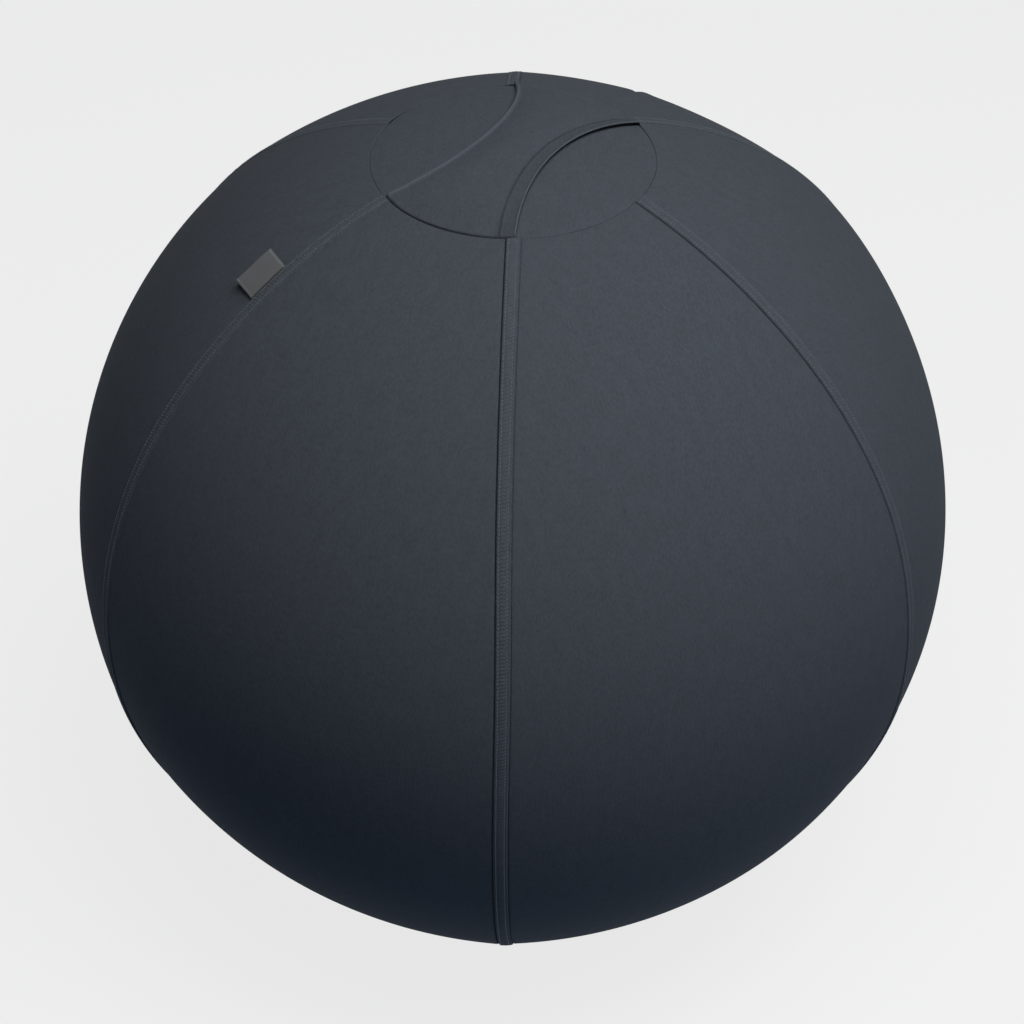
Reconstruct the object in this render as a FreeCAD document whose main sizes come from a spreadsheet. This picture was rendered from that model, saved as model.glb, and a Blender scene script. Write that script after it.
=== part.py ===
import FreeCAD, Part
import math
import os
import Sketcher

# Balance ball chair: an inflated ball in a six panel fabric cover that stands on a flat base.
# Frame: millimetres, +Z up, origin on the floor under the middle, front seam towards -Y.
# A ring angle is counted from the front seam, anticlockwise seen from above.
V = FreeCAD.Vector
document = FreeCAD.newDocument("balance_ball_chair")

SIZES = {
    # Cover
    "ball_radius": (323.5, "centre of the ball to the middle of a cover panel"),
    "panel_flatness": (33.0, "how far a panel's turning axis lies behind the ball's axis"),
    "cover_wall": (3.0, "thickness of the padded cover fabric"),
    "cover_clearance": (0.8, "cover to inner ball"),
    "seam_gap": (0.6, "width of the ditch between two panels"),
    "band_width": (10.0, "width of the folded and topstitched seam band"),
    "band_height": (0.9, "how far the seam band stands over its panel"),
    "panel_count": (6.0, "panels round the cover"),
    "rim_radius": (97.7, "radius of the seam round the top disc"),
    # Base
    "foot_depth": (7.2, "ball to the corner between the base's flat and its slope"),
    "ring_angle": (30.5, "bottom of the ball to the lower edge of the panels, at the centre"),
    "base_wall": (3.0, "thickness of the base fabric"),
    "sole_margin": (7.0, "edge of the grip sole to the corner of the base"),
    "sole_wall": (1.2, "thickness of the grip sole"),
    "fit_gap": (0.3, "clearance between separate pieces that lie on each other"),
    "layer_gap": (0.1, "clearance between two layers that are sewn together"),
    # Ballast
    "pouch_count": (6.0, "sand pouches in the base"),
    "pouch_edge": (1.5, "thickness of a pouch at its inner and outer edges"),
    "pouch_gap_angle": (3.0, "gap between two pouches, in degrees"),
    # Inner ball
    "bladder_wall": (1.2, "wall of the inflated ball"),
    "valve_angle": (44.0, "bottom of the ball to the valve, at the centre"),
    "valve_radius": (11.0, "outer radius of the valve seat"),
    "valve_bore": (4.5, "bore of the valve seat"),
    "valve_depth": (13.0, "length of the valve seat"),
    "plug_head_radius": (8.0, "radius of the valve plug's head"),
    "plug_head_wall": (1.8, "thickness of the valve plug's head"),
    "valve_inset": (0.25, "skin of the ball to the face of the valve seat"),
    "valve_clearance": (0.05, "clearance round the seat and the plug"),
    "plug_edge": (0.4, "bevel round the valve plug's head"),
    "plug_taper": (3.0, "length of the valve plug's tapered end"),
    "plug_tip_radius": (3.6, "radius of the valve plug's end"),
    "plug_end_gap": (1.0, "inner end of the valve seat to the plug's end"),
    # Handle
    "right_front_angle": (3.5, "front seam to the front end of the handle's right edge, in degrees"),
    "right_back_angle": (118.0, "front seam to the back end of the handle's right edge, in degrees"),
    "left_back_angle": (182.0, "front seam to the back end of the handle's left edge, in degrees"),
    "left_front_angle": (302.0, "front seam to the front end of the handle's left edge, in degrees"),
    "handle_left_waist": (19.0, "ball's axis to the handle's left edge, at the waist"),
    "handle_right_waist": (34.0, "ball's axis to the handle's right edge, at the waist"),
    "handle_rise": (3.0, "gap between the top disc and the middle of the handle"),
    "handle_wall": (3.0, "thickness of the handle's outer fabric"),
    "lining_wall": (0.8, "thickness of the handle's lining"),
    "core_wall": (1.4, "thickness of the webbing inside the handle"),
    "core_width": (32.0, "width of the webbing inside the handle"),
    "core_length": (116.0, "length of the webbing inside the handle"),
    "handle_setback": (1.2, "handle's ends to the seam round the top disc"),
    # Zip
    "tape_width": (13.0, "visible width of one zip tape"),
    "tape_wall": (1.2, "thickness of a zip tape"),
    "tape_seam": (0.2, "zip tape to the fabric it is sewn to"),
    "zip_sweep_angle": (300.0, "toothed part of the ring zip, in degrees"),
    "tape_tail": (17.0, "length of the zip tape past the last tooth"),
    "tooth_pitch": (4.0, "spacing of the teeth in one row"),
    "tooth_head": (2.0, "width of a tooth's head"),
    "tooth_root": (1.4, "width of a tooth at its tape"),
    "tooth_reach": (0.9, "how far a tooth reaches past the middle of the zip"),
    "tooth_foot": (3.0, "middle of the zip to a tooth's foot"),
    "tooth_height": (3.0, "height of a tooth"),
    "stop_height": (2.8, "height of the zip's stops"),
    "top_stop_length": (2.4, "length of a top stop"),
    "top_stop_gap": (1.0, "middle of the zip to a top stop"),
    "top_stop_clearance": (1.2, "closed slider to the top stops"),
    "bottom_stop_length": (4.0, "length of the bottom stop"),
    "bottom_stop_clearance": (0.6, "last tooth place to the bottom stop"),
    # Zip slider and pull
    "slider_length": (15.0, "length of the slider"),
    "slider_width": (10.0, "width of the slider at its mouths"),
    "slider_tail": (8.4, "width of the slider at its tail"),
    "slider_clearance": (0.3, "teeth to the slider's plates"),
    "slider_corner": (1.5, "bevel at the slider's front corners"),
    "plate_wall": (1.2, "thickness of one slider plate"),
    "post_length": (3.6, "length of the wedge between the slider's plates"),
    "post_setback": (1.2, "front of the slider to its wedge"),
    "post_nose": (2.2, "width of the wedge at the slider's front"),
    "post_tail": (0.7, "width of the wedge at its thin end"),
    "bail_width": (2.4, "width of the slider's bail"),
    "bail_wall": (1.1, "thickness of the slider's bail"),
    "bail_corner": (0.8, "bevel and spread of the slider's bail"),
    "weld": (0.2, "how far two joined features of the slider run into each other"),
    "pivot_radius": (0.8, "radius of the pull's crossbar"),
    "pivot_clearance": (0.45, "crossbar to the bail"),
    "pull_length": (22.0, "crossbar to the end of the zip pull"),
    "pull_width": (7.4, "width of the zip pull"),
    "pull_wall": (1.6, "thickness of the zip pull"),
    "pull_window": (4.4, "crossbar to the end of the pull's window"),
    "pull_bridge": (2.0, "end of the pull's window to its shoulders"),
    "pull_grip": (3.4, "length of the pull's narrow end"),
    "pull_taper": (1.2, "how much the pull narrows on each side"),
    # Label
    "label_length": (31.0, "length of the label along its seam"),
    "label_width": (21.0, "how far the label stands out of its seam"),
    "label_wall": (0.6, "thickness of one layer of the label"),
    "label_fold": (0.95, "radius of the fold at the label's free end"),
    "label_drop": (77.5, "seam round the top disc to the label's upper end, along its own seam"),
    "label_lift": (0.6, "label over the seam at its sewn edge"),
}

sheet = document.addObject("Spreadsheet::Sheet", "Sizes")
for row, (alias, (value, note)) in enumerate(SIZES.items(), start=1):
    sheet.set(f"A{row}", alias)
    sheet.set(f"B{row}", str(value))
    sheet.set(f"C{row}", note)
    sheet.setAlias(f"B{row}", alias)
document.recompute()

# Places that follow from the sizes. Radii are from the ball's axis and heights from the floor.
PLACES = {
    "slope_sin": "sin(Sizes.ring_angle * 1deg)",
    "slope_cos": "cos(Sizes.ring_angle * 1deg)",
    "ring_radius": "Sizes.ball_radius * slope_sin",
    "slope_length": "sqrt((Sizes.ball_radius + Sizes.foot_depth)^2 - Sizes.ball_radius^2)",
    "foot_radius": "ring_radius - slope_length * slope_cos",
    "sole_radius": "foot_radius - Sizes.sole_margin",
    "ring_height": "Sizes.sole_wall + slope_length * slope_sin",
    "centre_height": "ring_height + Sizes.ball_radius * slope_cos",
    "crown_height": "centre_height + Sizes.ball_radius",
    "inner_radius": "Sizes.ball_radius - Sizes.cover_wall",
    "band_radius": "Sizes.ball_radius + Sizes.band_height",
    "band_root": "Sizes.ball_radius - Sizes.cover_wall / 2",
    "bladder_radius": "inner_radius - Sizes.cover_clearance",
    "bladder_inner": "bladder_radius - Sizes.bladder_wall",
    "base_top": "Sizes.sole_wall + Sizes.base_wall",
    "bladder_foot": "base_top + Sizes.fit_gap",
    "bladder_floor": "bladder_foot + Sizes.bladder_wall",
    "far": "2 * Sizes.ball_radius",
    "above": "crown_height + Sizes.rim_radius",
    "rim_angle": "asin(Sizes.rim_radius / Sizes.ball_radius) / 1deg",
    "blank_top": "rim_angle / 2",
    "blank_bottom": "180 - Sizes.ring_angle / 2",
    "panel_angle": "360 / Sizes.panel_count",
    "disc_radius": "Sizes.rim_radius - Sizes.seam_gap",
    "disc_height": "centre_height + sqrt(Sizes.ball_radius^2 - disc_radius^2)",
    "zip_half": "Sizes.tooth_foot + Sizes.layer_gap",
    "zip_line": "Sizes.tape_width + zip_half",
    "base_edge": "2 * Sizes.tape_width + 2 * zip_half + Sizes.tape_seam",
    "zip_radius": "ring_radius - zip_line * slope_cos - Sizes.tape_wall / 2 * slope_sin",
    "zip_height": "ring_height - zip_line * slope_sin + Sizes.tape_wall / 2 * slope_cos",
    "zip_degree": "2 * pi * zip_radius / 360",
    "tape_sweep": "Sizes.zip_sweep_angle + 2 * Sizes.tape_tail / zip_degree",
    "tongue_sweep": "360 - tape_sweep - 2 * Sizes.fit_gap / zip_degree",
    "strap_rim": "Sizes.rim_radius - Sizes.handle_setback",
    "strap_foot": "centre_height + sqrt(Sizes.ball_radius^2 - strap_rim^2) + Sizes.fit_gap",
    "strap_crown": "crown_height + Sizes.handle_rise",
    "strap_sag": "strap_crown - strap_foot",
    "strap_radius": "(strap_rim^2 + strap_sag^2) / (2 * strap_sag)",
    "strap_centre": "strap_crown - strap_radius",
    "lining_outer": "strap_radius + Sizes.lining_wall",
    "strap_inner": "lining_outer + Sizes.layer_gap",
    "core_outer": "strap_inner + Sizes.core_wall",
    "strap_outer": "strap_inner + Sizes.handle_wall",
    "pouch_floor": "base_top + Sizes.fit_gap",
    "pouch_top": "bladder_radius + Sizes.fit_gap",
    "pouch_slope": "Sizes.ball_radius - Sizes.base_wall - Sizes.fit_gap",
    "pouch_inner": "sqrt((pouch_top + Sizes.pouch_edge)^2 - (centre_height - pouch_floor)^2)",
    "pouch_reach": "sqrt((pouch_top + Sizes.pouch_edge)^2 - pouch_slope^2)",
    "pouch_outer": "pouch_slope * slope_sin - pouch_reach * slope_cos",
    "pouch_side": "centre_height - pouch_slope * slope_cos - pouch_reach * slope_sin",
    "pouch_corner": "pouch_outer - (pouch_side - pouch_floor) * slope_cos / slope_sin",
}
places = document.addObject("App::VarSet", "Places")
for name, rule in PLACES.items():
    places.addProperty("App::PropertyFloat", name, "Places", rule)
    places.setExpression(name, rule)
    document.recompute()


def number(rule):
    """The value of an expression on the sizes and places."""
    answer = places.evalExpression(rule)
    return float(getattr(answer, "Value", answer))


def size(alias):
    return number(f"Sizes.{alias}")


def new_body(label):
    body = document.addObject("PartDesign::Body", label)
    body.Label = label
    return body


def new_sketch(body, name, role, lift=None):
    """A sketch on one of the body's own planes, lifted off it by a bound distance."""
    sketch = body.newObject("Sketcher::SketchObject", name)
    plane = next(item for item in body.Origin.OriginFeatures if item.Role == role)
    sketch.AttachmentSupport = [(plane, "")]
    sketch.MapMode = "FlatFace"
    if lift is not None:
        sketch.setExpression("AttachmentOffset.Base.z", lift)
    return sketch


def bind_point(sketch, edge, end, across, along):
    """Hold a point at a bound place, on an axis where that place is zero."""
    for kind, rule, axis in (("DistanceX", across, -2), ("DistanceY", along, -1)):
        if rule == "0":
            sketch.addConstraint(Sketcher.Constraint("PointOnObject", edge, end, axis))
            continue
        held = Sketcher.Constraint(kind, -1, 1, edge, end, number(rule))
        index = sketch.addConstraint(held)
        sketch.setExpression(f"Constraints[{index}]", rule)


def draw_outline(sketch, corners):
    """A closed outline. Each corner is (across, along) or (across, along, radius, side).

    A radius makes the edge that leaves the corner an arc, and side 1 bulges it to the left.
    """
    spots = [V(number(corner[0]), number(corner[1]), 0) for corner in corners]
    count = len(corners)
    for index, corner in enumerate(corners):
        start, end = spots[index], spots[(index + 1) % count]
        if len(corner) == 2:
            sketch.addGeometry(Part.LineSegment(start, end), False)
            continue
        radius = number(corner[2])
        half = (end - start).Length / 2
        depth = radius - math.sqrt(max(radius * radius - half * half, 0))
        side = V(start.y - end.y, end.x - start.x, 0).normalize() * corner[3]
        middle = (start + end) * 0.5 + side * depth
        sketch.addGeometry(Part.Arc(start, middle, end), False)
    for index, corner in enumerate(corners):
        arc = len(corner) == 4
        start_end = arc_start(corner)
        following = corners[(index + 1) % count]
        leave = 3 - start_end
        sketch.addConstraint(
            Sketcher.Constraint("Coincident", index, leave, (index + 1) % count, arc_start(following))
        )
        bind_point(sketch, index, start_end, corner[0], corner[1])
        if arc:
            held = Sketcher.Constraint("Radius", index, number(corner[2]))
            bound = sketch.addConstraint(held)
            sketch.setExpression(f"Constraints[{bound}]", corner[2])


def arc_start(corner):
    """Which end of the edge is its start: an arc is stored anticlockwise."""
    return 2 if len(corner) == 4 and corner[3] > 0 else 1


def draw_circle(sketch, across, along, radius):
    circle = Part.Circle(V(number(across), number(along), 0), V(0, 0, 1), number(radius))
    edge = sketch.addGeometry(circle, False)
    if across == "0" and along == "0":
        sketch.addConstraint(Sketcher.Constraint("Coincident", edge, 3, -1, 1))
    else:
        bind_point(sketch, edge, 3, across, along)
    index = sketch.addConstraint(Sketcher.Constraint("Radius", edge, number(radius)))
    sketch.setExpression(f"Constraints[{index}]", radius)


def turn(body, name, corners, sweep="360"):
    """A profile of radius and height turned about the body's Z axis, half the sweep each way."""
    sketch = new_sketch(body, name + "_profile", "XZ_Plane")
    draw_outline(sketch, corners)
    feature = body.newObject("PartDesign::Revolution", name)
    feature.Profile = sketch
    feature.ReferenceAxis = (sketch, ["V_Axis"])
    feature.Midplane = True
    feature.setExpression("Angle", sweep)
    document.recompute()
    return feature


def raise_outline(body, name, corners, lift, height, cut=False):
    """An outline in plan, raised from lift by height, added to the body or cut from it."""
    sketch = new_sketch(body, name + "_outline", "XY_Plane", lift)
    draw_outline(sketch, corners)
    feature = body.newObject("PartDesign::Pocket" if cut else "PartDesign::Pad", name)
    feature.Profile = sketch
    feature.setExpression("Length", height)
    if cut:
        feature.Reversed = True
    document.recompute()
    return feature


def boolean(kind, name, base, tool):
    result = document.addObject(f"Part::{kind}", name)
    result.Base = base
    result.Tool = tool
    result.Label = name
    return result


def spin(degrees):
    return FreeCAD.Rotation(V(0, 0, 1), degrees)


parts = []


def keep(item, rotation=None, base=None):
    """Set a finished sub-part's place and list it for writing."""
    item.Placement = FreeCAD.Placement(base or V(0, 0, 0), rotation or FreeCAD.Rotation())
    parts.append(item)
    return item


# Cover panels
def ball_shell(label, outer, inner):
    """A wall along the ball's section, set off from the axis that it is turned about."""
    body = new_body(label)
    place = "Sizes.panel_flatness + ({0}) * sin(({1}) * 1deg)"
    height = "Places.centre_height + ({0}) * cos(({1}) * 1deg)"
    top = "Places.blank_top"
    bottom = "Places.blank_bottom"
    corners = []
    for radius, angle, way in ((outer, top, 1), (outer, bottom, 0), (inner, bottom, -1), (inner, top, 0)):
        corner = (place.format(radius, angle), height.format(radius, angle))
        corners.append(corner + (radius, way) if way else corner)
    return body, corners


shell_body, shell_corners = ball_shell(
    "panel_blank", "Sizes.ball_radius", "Places.inner_radius"
)
turn(shell_body, "panel_wall", shell_corners, "Places.panel_angle")
band_body, band_corners = ball_shell(
    "band_blank", "Places.band_radius", "Places.band_root"
)
turn(band_body, "band_wall", band_corners, "Places.panel_angle")
for blank in (shell_body, band_body):
    blank.setExpression("Placement.Base.x", "-Sizes.panel_flatness")

wedge_body = new_body("panel_wedge")
half_tan = "tan(Places.panel_angle / 2 * 1deg)"
apex = "Sizes.seam_gap / 2 / sin(Places.panel_angle / 2 * 1deg)"
wedge_corners = (
    (apex, "0"),
    (f"{apex} + Places.far", f"-Places.far * {half_tan}"),
    (f"{apex} + Places.far", f"Places.far * {half_tan}"),
)
raise_outline(wedge_body, "wedge", wedge_corners, "0", "Places.above")

strip = document.addObject("Part::Box", "band_strip")
strip.setExpression("Length", "Places.far")
strip.setExpression("Width", "Sizes.band_width")
strip.setExpression("Height", "Places.above")
strip_turn = FreeCAD.Rotation(V(0, 0, 1), -number("Places.panel_angle") / 2)
strip.Placement = FreeCAD.Placement(strip_turn.multVec(V(0, size("seam_gap") / 2, 0)), strip_turn)

# The panels stop at the seam round the top disc and at the ring zip.
zone_body = new_body("panel_zone")
rim_slope = "Sizes.rim_radius / sqrt(Sizes.ball_radius^2 - Sizes.rim_radius^2)"
ring_slope = "Places.slope_sin / Places.slope_cos"
zone_corners = (
    ("0", "Places.centre_height"),
    ("Places.far", f"Places.centre_height - Places.far / ({ring_slope})"),
    ("Places.far", f"Places.centre_height + Places.far / ({rim_slope})"),
)
turn(zone_body, "zone", zone_corners)

panel_wall = boolean("Common", "panel_sector", shell_body, wedge_body)
panel_band = boolean("Common", "panel_band", band_body, strip)
panel_whole = boolean("Fuse", "panel_whole", panel_wall, panel_band)
PANEL_NAMES = ("front_right", "right", "back_right", "back_left", "left", "front_left")
for index in range(int(size("panel_count"))):
    name = PANEL_NAMES[index] if index < len(PANEL_NAMES) else f"extra_{index + 1}"
    panel = boolean("Common", f"cover_panel_{name}", panel_whole, zone_body)
    keep(panel, spin(number("Places.panel_angle") * (index + 0.5) - 90))

# Top disc
disc_scale = "Places.inner_radius / Sizes.ball_radius"
disc = new_body("top_disc")
disc_corners = (
    ("0", "Places.crown_height - Sizes.cover_wall"),
    ("0", "Places.crown_height", "Sizes.ball_radius", 1),
    ("Places.disc_radius", "Places.disc_height"),
    (
        f"Places.disc_radius * {disc_scale}",
        f"Places.centre_height + (Places.disc_height - Places.centre_height) * {disc_scale}",
        "Places.inner_radius",
        -1,
    ),
)
turn(disc, "disc_wall", disc_corners)
keep(disc)


# Handle
def cap_layer(label, outer, inner):
    """A layer of a flat dome over the top disc, out to the seam round it."""
    body = new_body(label)
    reach = "Sizes.rim_radius"
    edge = "Places.strap_centre + sqrt(({0})^2 - {1}^2)"
    corners = (
        ("0", f"Places.strap_centre + {inner}"),
        ("0", f"Places.strap_centre + {outer}", outer, 1),
        (reach, edge.format(outer, reach)),
        (reach, edge.format(inner, reach), inner, -1),
    )
    turn(body, label + "_dome", corners)
    return body


def rim_point(ring_angle, radius):
    return (f"{radius} * sin({ring_angle} * 1deg)", f"-{radius} * cos({ring_angle} * 1deg)")


def edge_radius(waist, radius, first, last):
    """Radius of a handle edge that bows in from two rim points to its waist."""
    half_angle = f"(({last} - {first}) / 2 * 1deg)"
    half = f"({radius} * sin({half_angle}))"
    bow = f"({radius} * cos({half_angle}) - {waist})"
    return f"({half}^2 + {bow}^2) / (2 * {bow})"


handle_plan = new_body("handle_plan")
reach = "Places.strap_rim"
right_edge = ("Sizes.right_front_angle", "Sizes.right_back_angle")
left_edge = ("Sizes.left_back_angle", "Sizes.left_front_angle")
plan_corners = (
    rim_point(left_edge[1], reach) + (reach, -1),
    rim_point(right_edge[0], reach) + (edge_radius("Sizes.handle_right_waist", reach, *right_edge), 1),
    rim_point(right_edge[1], reach) + (reach, -1),
    rim_point(left_edge[0], reach) + (edge_radius("Sizes.handle_left_waist", reach, *left_edge), 1),
)
raise_outline(handle_plan, "plan", plan_corners, "Places.centre_height", "Places.far")

core_plan = new_body("core_plan")
pocket_plan = new_body("core_pocket_plan")
middle_across = "((Sizes.handle_right_waist - Sizes.handle_left_waist) / 2)"
for body, spare in ((core_plan, "0"), (pocket_plan, "Sizes.fit_gap")):
    half_long = f"(Sizes.core_length / 2 + {spare})"
    half_wide = f"(Sizes.core_width / 2 + {spare})"
    core_corners = (
        (f"{middle_across} - {half_wide}", f"-{half_long}"),
        (f"{middle_across} + {half_wide}", f"-{half_long}"),
        (f"{middle_across} + {half_wide}", half_long),
        (f"{middle_across} - {half_wide}", half_long),
    )
    raise_outline(body, body.Label + "_area", core_corners, "Places.centre_height", "Places.far")
    # The handle runs from its front left end to its back right end.
    body.Placement = FreeCAD.Placement(V(0, 0, 0), spin(-30))

lining_dome = cap_layer("lining_layer", "Places.lining_outer", "Places.strap_radius")
keep(boolean("Common", "handle_lining", lining_dome, handle_plan))
core_dome = cap_layer("core_layer", "Places.core_outer", "Places.strap_inner")
keep(boolean("Common", "handle_core", core_dome, core_plan))
strap_dome = cap_layer("strap_layer", "Places.strap_outer", "Places.strap_inner")
pocket_dome = cap_layer("core_pocket_layer", "Places.core_outer + Sizes.fit_gap", "Places.strap_radius")
strap_blank = boolean("Common", "strap_blank", strap_dome, handle_plan)
core_pocket = boolean("Common", "core_pocket", pocket_dome, pocket_plan)
keep(boolean("Cut", "handle_strap", strap_blank, core_pocket))


# Base
def flank(down, depth):
    """A point down the base's slope from the panels' edge, and in from its outer face."""
    across = f"Places.ring_radius - ({down}) * Places.slope_cos - ({depth}) * Places.slope_sin"
    along = f"Places.ring_height - ({down}) * Places.slope_sin + ({depth}) * Places.slope_cos"
    return (across, along)


base = new_body("base_panel")
inner_foot = "Places.foot_radius - Sizes.base_wall * tan(Sizes.ring_angle / 2 * 1deg)"
base_corners = (
    ("0", "Sizes.sole_wall"),
    ("Places.foot_radius", "Sizes.sole_wall"),
    flank("Places.base_edge", "0"),
    flank("Places.base_edge", "Sizes.base_wall"),
    (inner_foot, "Places.base_top"),
    ("0", "Places.base_top"),
)
turn(base, "base_dish", base_corners)
# Where the zip stops, at the back, the base is sewn straight to the panels.
tongue_corners = (
    flank("Sizes.tape_seam", "0"),
    flank("Sizes.tape_seam", "Sizes.base_wall"),
    flank("Places.base_edge + Sizes.base_wall", "Sizes.base_wall"),
    flank("Places.base_edge + Sizes.base_wall", "0"),
)
turn(base, "base_tongue", tongue_corners, "Places.tongue_sweep")
keep(base, spin(90))

sole = new_body("grip_sole")
sole_corners = (
    ("0", "0"),
    ("Places.sole_radius", "0"),
    ("Places.sole_radius", "Sizes.sole_wall"),
    ("0", "Sizes.sole_wall"),
)
turn(sole, "sole_disc", sole_corners)
keep(sole)

# Ballast pouches, which fill the wedge between the base and the ball
ball_under = "Places.centre_height - sqrt(Places.pouch_top^2 - ({0})^2)"
pouch_corners = (
    ("Places.pouch_inner", "Places.pouch_floor"),
    ("Places.pouch_corner", "Places.pouch_floor"),
    ("Places.pouch_outer", "Places.pouch_side"),
    ("Places.pouch_outer", ball_under.format("Places.pouch_outer"), "Places.pouch_top", 1),
    ("Places.pouch_inner", ball_under.format("Places.pouch_inner")),
)
pouch_sweep = "360 / Sizes.pouch_count - Sizes.pouch_gap_angle"
for index in range(int(size("pouch_count"))):
    pouch = new_body(f"ballast_pouch_{index + 1}")
    turn(pouch, f"pouch_fill_{index + 1}", pouch_corners, pouch_sweep)
    keep(pouch, spin(360 / size("pouch_count") * (index + 0.5) - 90))

# Inner ball, with the flat patch on which it rests
bladder_ball = new_body("bladder_ball")
foot_outer = "sqrt(Places.bladder_radius^2 - (Places.centre_height - Places.bladder_foot)^2)"
foot_inner = "sqrt(Places.bladder_inner^2 - (Places.centre_height - Places.bladder_floor)^2)"
bladder_corners = (
    ("0", "Places.centre_height + Places.bladder_radius", "Places.bladder_radius", 1),
    ("Places.bladder_radius", "Places.centre_height", "Places.bladder_radius", 1),
    (foot_outer, "Places.bladder_foot"),
    ("0", "Places.bladder_foot"),
    ("0", "Places.bladder_floor"),
    (foot_inner, "Places.bladder_floor", "Places.bladder_inner", -1),
    ("Places.bladder_inner", "Places.centre_height", "Places.bladder_inner", -1),
    ("0", "Places.centre_height + Places.bladder_inner"),
)
turn(bladder_ball, "bladder_wall", bladder_corners)

# The valve looks out along a radius of the ball, low at the front.
valve_out = V(0, -math.sin(math.radians(size("valve_angle"))), -math.cos(math.radians(size("valve_angle"))))
valve_turn = FreeCAD.Rotation(V(1, 0, 0), V(0, 0, 0), valve_out, "ZXY")
ball_centre = V(0, 0, number("Places.centre_height"))

valve_hole = document.addObject("Part::Cylinder", "valve_hole")
valve_hole.setExpression("Radius", "Sizes.valve_radius + Sizes.valve_clearance")
valve_hole.setExpression("Height", "Places.far")
valve_hole.Placement = FreeCAD.Placement(ball_centre, valve_turn)
keep(boolean("Cut", "inner_ball", bladder_ball, valve_hole))

seat_face = "(Places.bladder_radius - Sizes.valve_inset)"
head_floor = f"({seat_face} - Sizes.plug_head_wall - Sizes.valve_clearance)"
seat = new_body("valve_seat")
seat_corners = (
    ("Sizes.valve_bore", f"{seat_face} - Sizes.valve_depth"),
    ("Sizes.valve_radius", f"{seat_face} - Sizes.valve_depth"),
    ("Sizes.valve_radius", seat_face),
    ("Sizes.plug_head_radius + 2 * Sizes.valve_clearance", seat_face),
    ("Sizes.plug_head_radius + 2 * Sizes.valve_clearance", head_floor),
    ("Sizes.valve_bore", head_floor),
)
turn(seat, "seat_ring", seat_corners)
keep(seat, valve_turn, ball_centre)

plug = new_body("valve_plug")
stem_end = f"{seat_face} - Sizes.valve_depth + Sizes.plug_end_gap"
plug_corners = (
    ("0", stem_end),
    ("Sizes.plug_tip_radius", stem_end),
    ("Sizes.valve_bore - Sizes.valve_clearance", f"{stem_end} + Sizes.plug_taper"),
    ("Sizes.valve_bore - Sizes.valve_clearance", f"{head_floor} + Sizes.valve_clearance"),
    ("Sizes.plug_head_radius", f"{head_floor} + Sizes.valve_clearance"),
    ("Sizes.plug_head_radius", f"{seat_face} - Sizes.plug_edge"),
    ("Sizes.plug_head_radius - Sizes.plug_edge", seat_face),
    ("0", seat_face),
)
turn(plug, "plug_body", plug_corners)
keep(plug, valve_turn, ball_centre)

# Ring zip
tapes = {
    "zip_tape_cover": ("Sizes.tape_seam", "Sizes.tape_width"),
    "zip_tape_base": ("Sizes.tape_width + 2 * Places.zip_half", "Places.base_edge - Sizes.tape_seam"),
}
for label, (upper, lower) in tapes.items():
    tape = new_body(label)
    tape_corners = (
        flank(upper, "0"),
        flank(upper, "Sizes.tape_wall"),
        flank(lower, "Sizes.tape_wall"),
        flank(lower, "0"),
    )
    turn(tape, label + "_ring", tape_corners, "Places.tape_sweep")
    keep(tape, spin(-90))


def on_zip(ring_angle):
    """The place on the middle of the zip: X runs towards its closed end, Y up and Z outwards."""
    angle = math.radians(ring_angle)
    out = V(math.sin(angle), -math.cos(angle), 0)
    along = V(math.cos(angle), math.sin(angle), 0)
    up = out * number("Places.slope_cos") + V(0, 0, number("Places.slope_sin"))
    face = out * number("Places.slope_sin") - V(0, 0, number("Places.slope_cos"))
    spot = out * number("Places.zip_radius") + V(0, 0, number("Places.zip_height"))
    return FreeCAD.Placement(spot, FreeCAD.Rotation(along, up, face, "ZXY"))


zip_end = size("zip_sweep_angle") / 2
pitch_angle = number("Sizes.tooth_pitch / Places.zip_degree")
tooth_count = int(size("zip_sweep_angle") / pitch_angle)
tooth = new_body("zip_tooth")
tooth_corners = (
    ("-Sizes.tooth_head / 2", "-Sizes.tooth_reach"),
    ("Sizes.tooth_head / 2", "-Sizes.tooth_reach"),
    ("Sizes.tooth_root / 2", "Sizes.tooth_foot"),
    ("-Sizes.tooth_root / 2", "Sizes.tooth_foot"),
)
raise_outline(tooth, "tooth", tooth_corners, "-Sizes.tooth_height / 2", "Sizes.tooth_height")
document.recompute()
other_way = FreeCAD.Placement(V(0, 0, 0), FreeCAD.Rotation(V(0, 0, 1), 180))
for label, half_step, facing in (
    ("zip_teeth_cover", 0.0, FreeCAD.Placement()),
    ("zip_teeth_base", 0.5, other_way),
):
    row = []
    for index in range(tooth_count):
        ring_angle = zip_end - (index + half_step) * pitch_angle
        one = tooth.Shape.copy()
        one.Placement = on_zip(ring_angle).multiply(facing).multiply(one.Placement)
        row.append(one)
    teeth = document.addObject("Part::Feature", label)
    teeth.Label = label
    teeth.Shape = Part.makeCompound(row)
    keep(teeth)

# Zip slider: two plates with side walls, the wedge that parts the teeth, and the pull's bail
slider = new_body("zip_slider")
half_length = "Sizes.slider_length / 2"
inside = "(Sizes.tooth_height / 2 + Sizes.slider_clearance)"
outside = f"({inside} + Sizes.plate_wall)"
wall_inside = "(Sizes.tooth_foot + Sizes.slider_clearance)"
slot = "(Sizes.tape_wall / 2 + Sizes.slider_clearance)"


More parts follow.
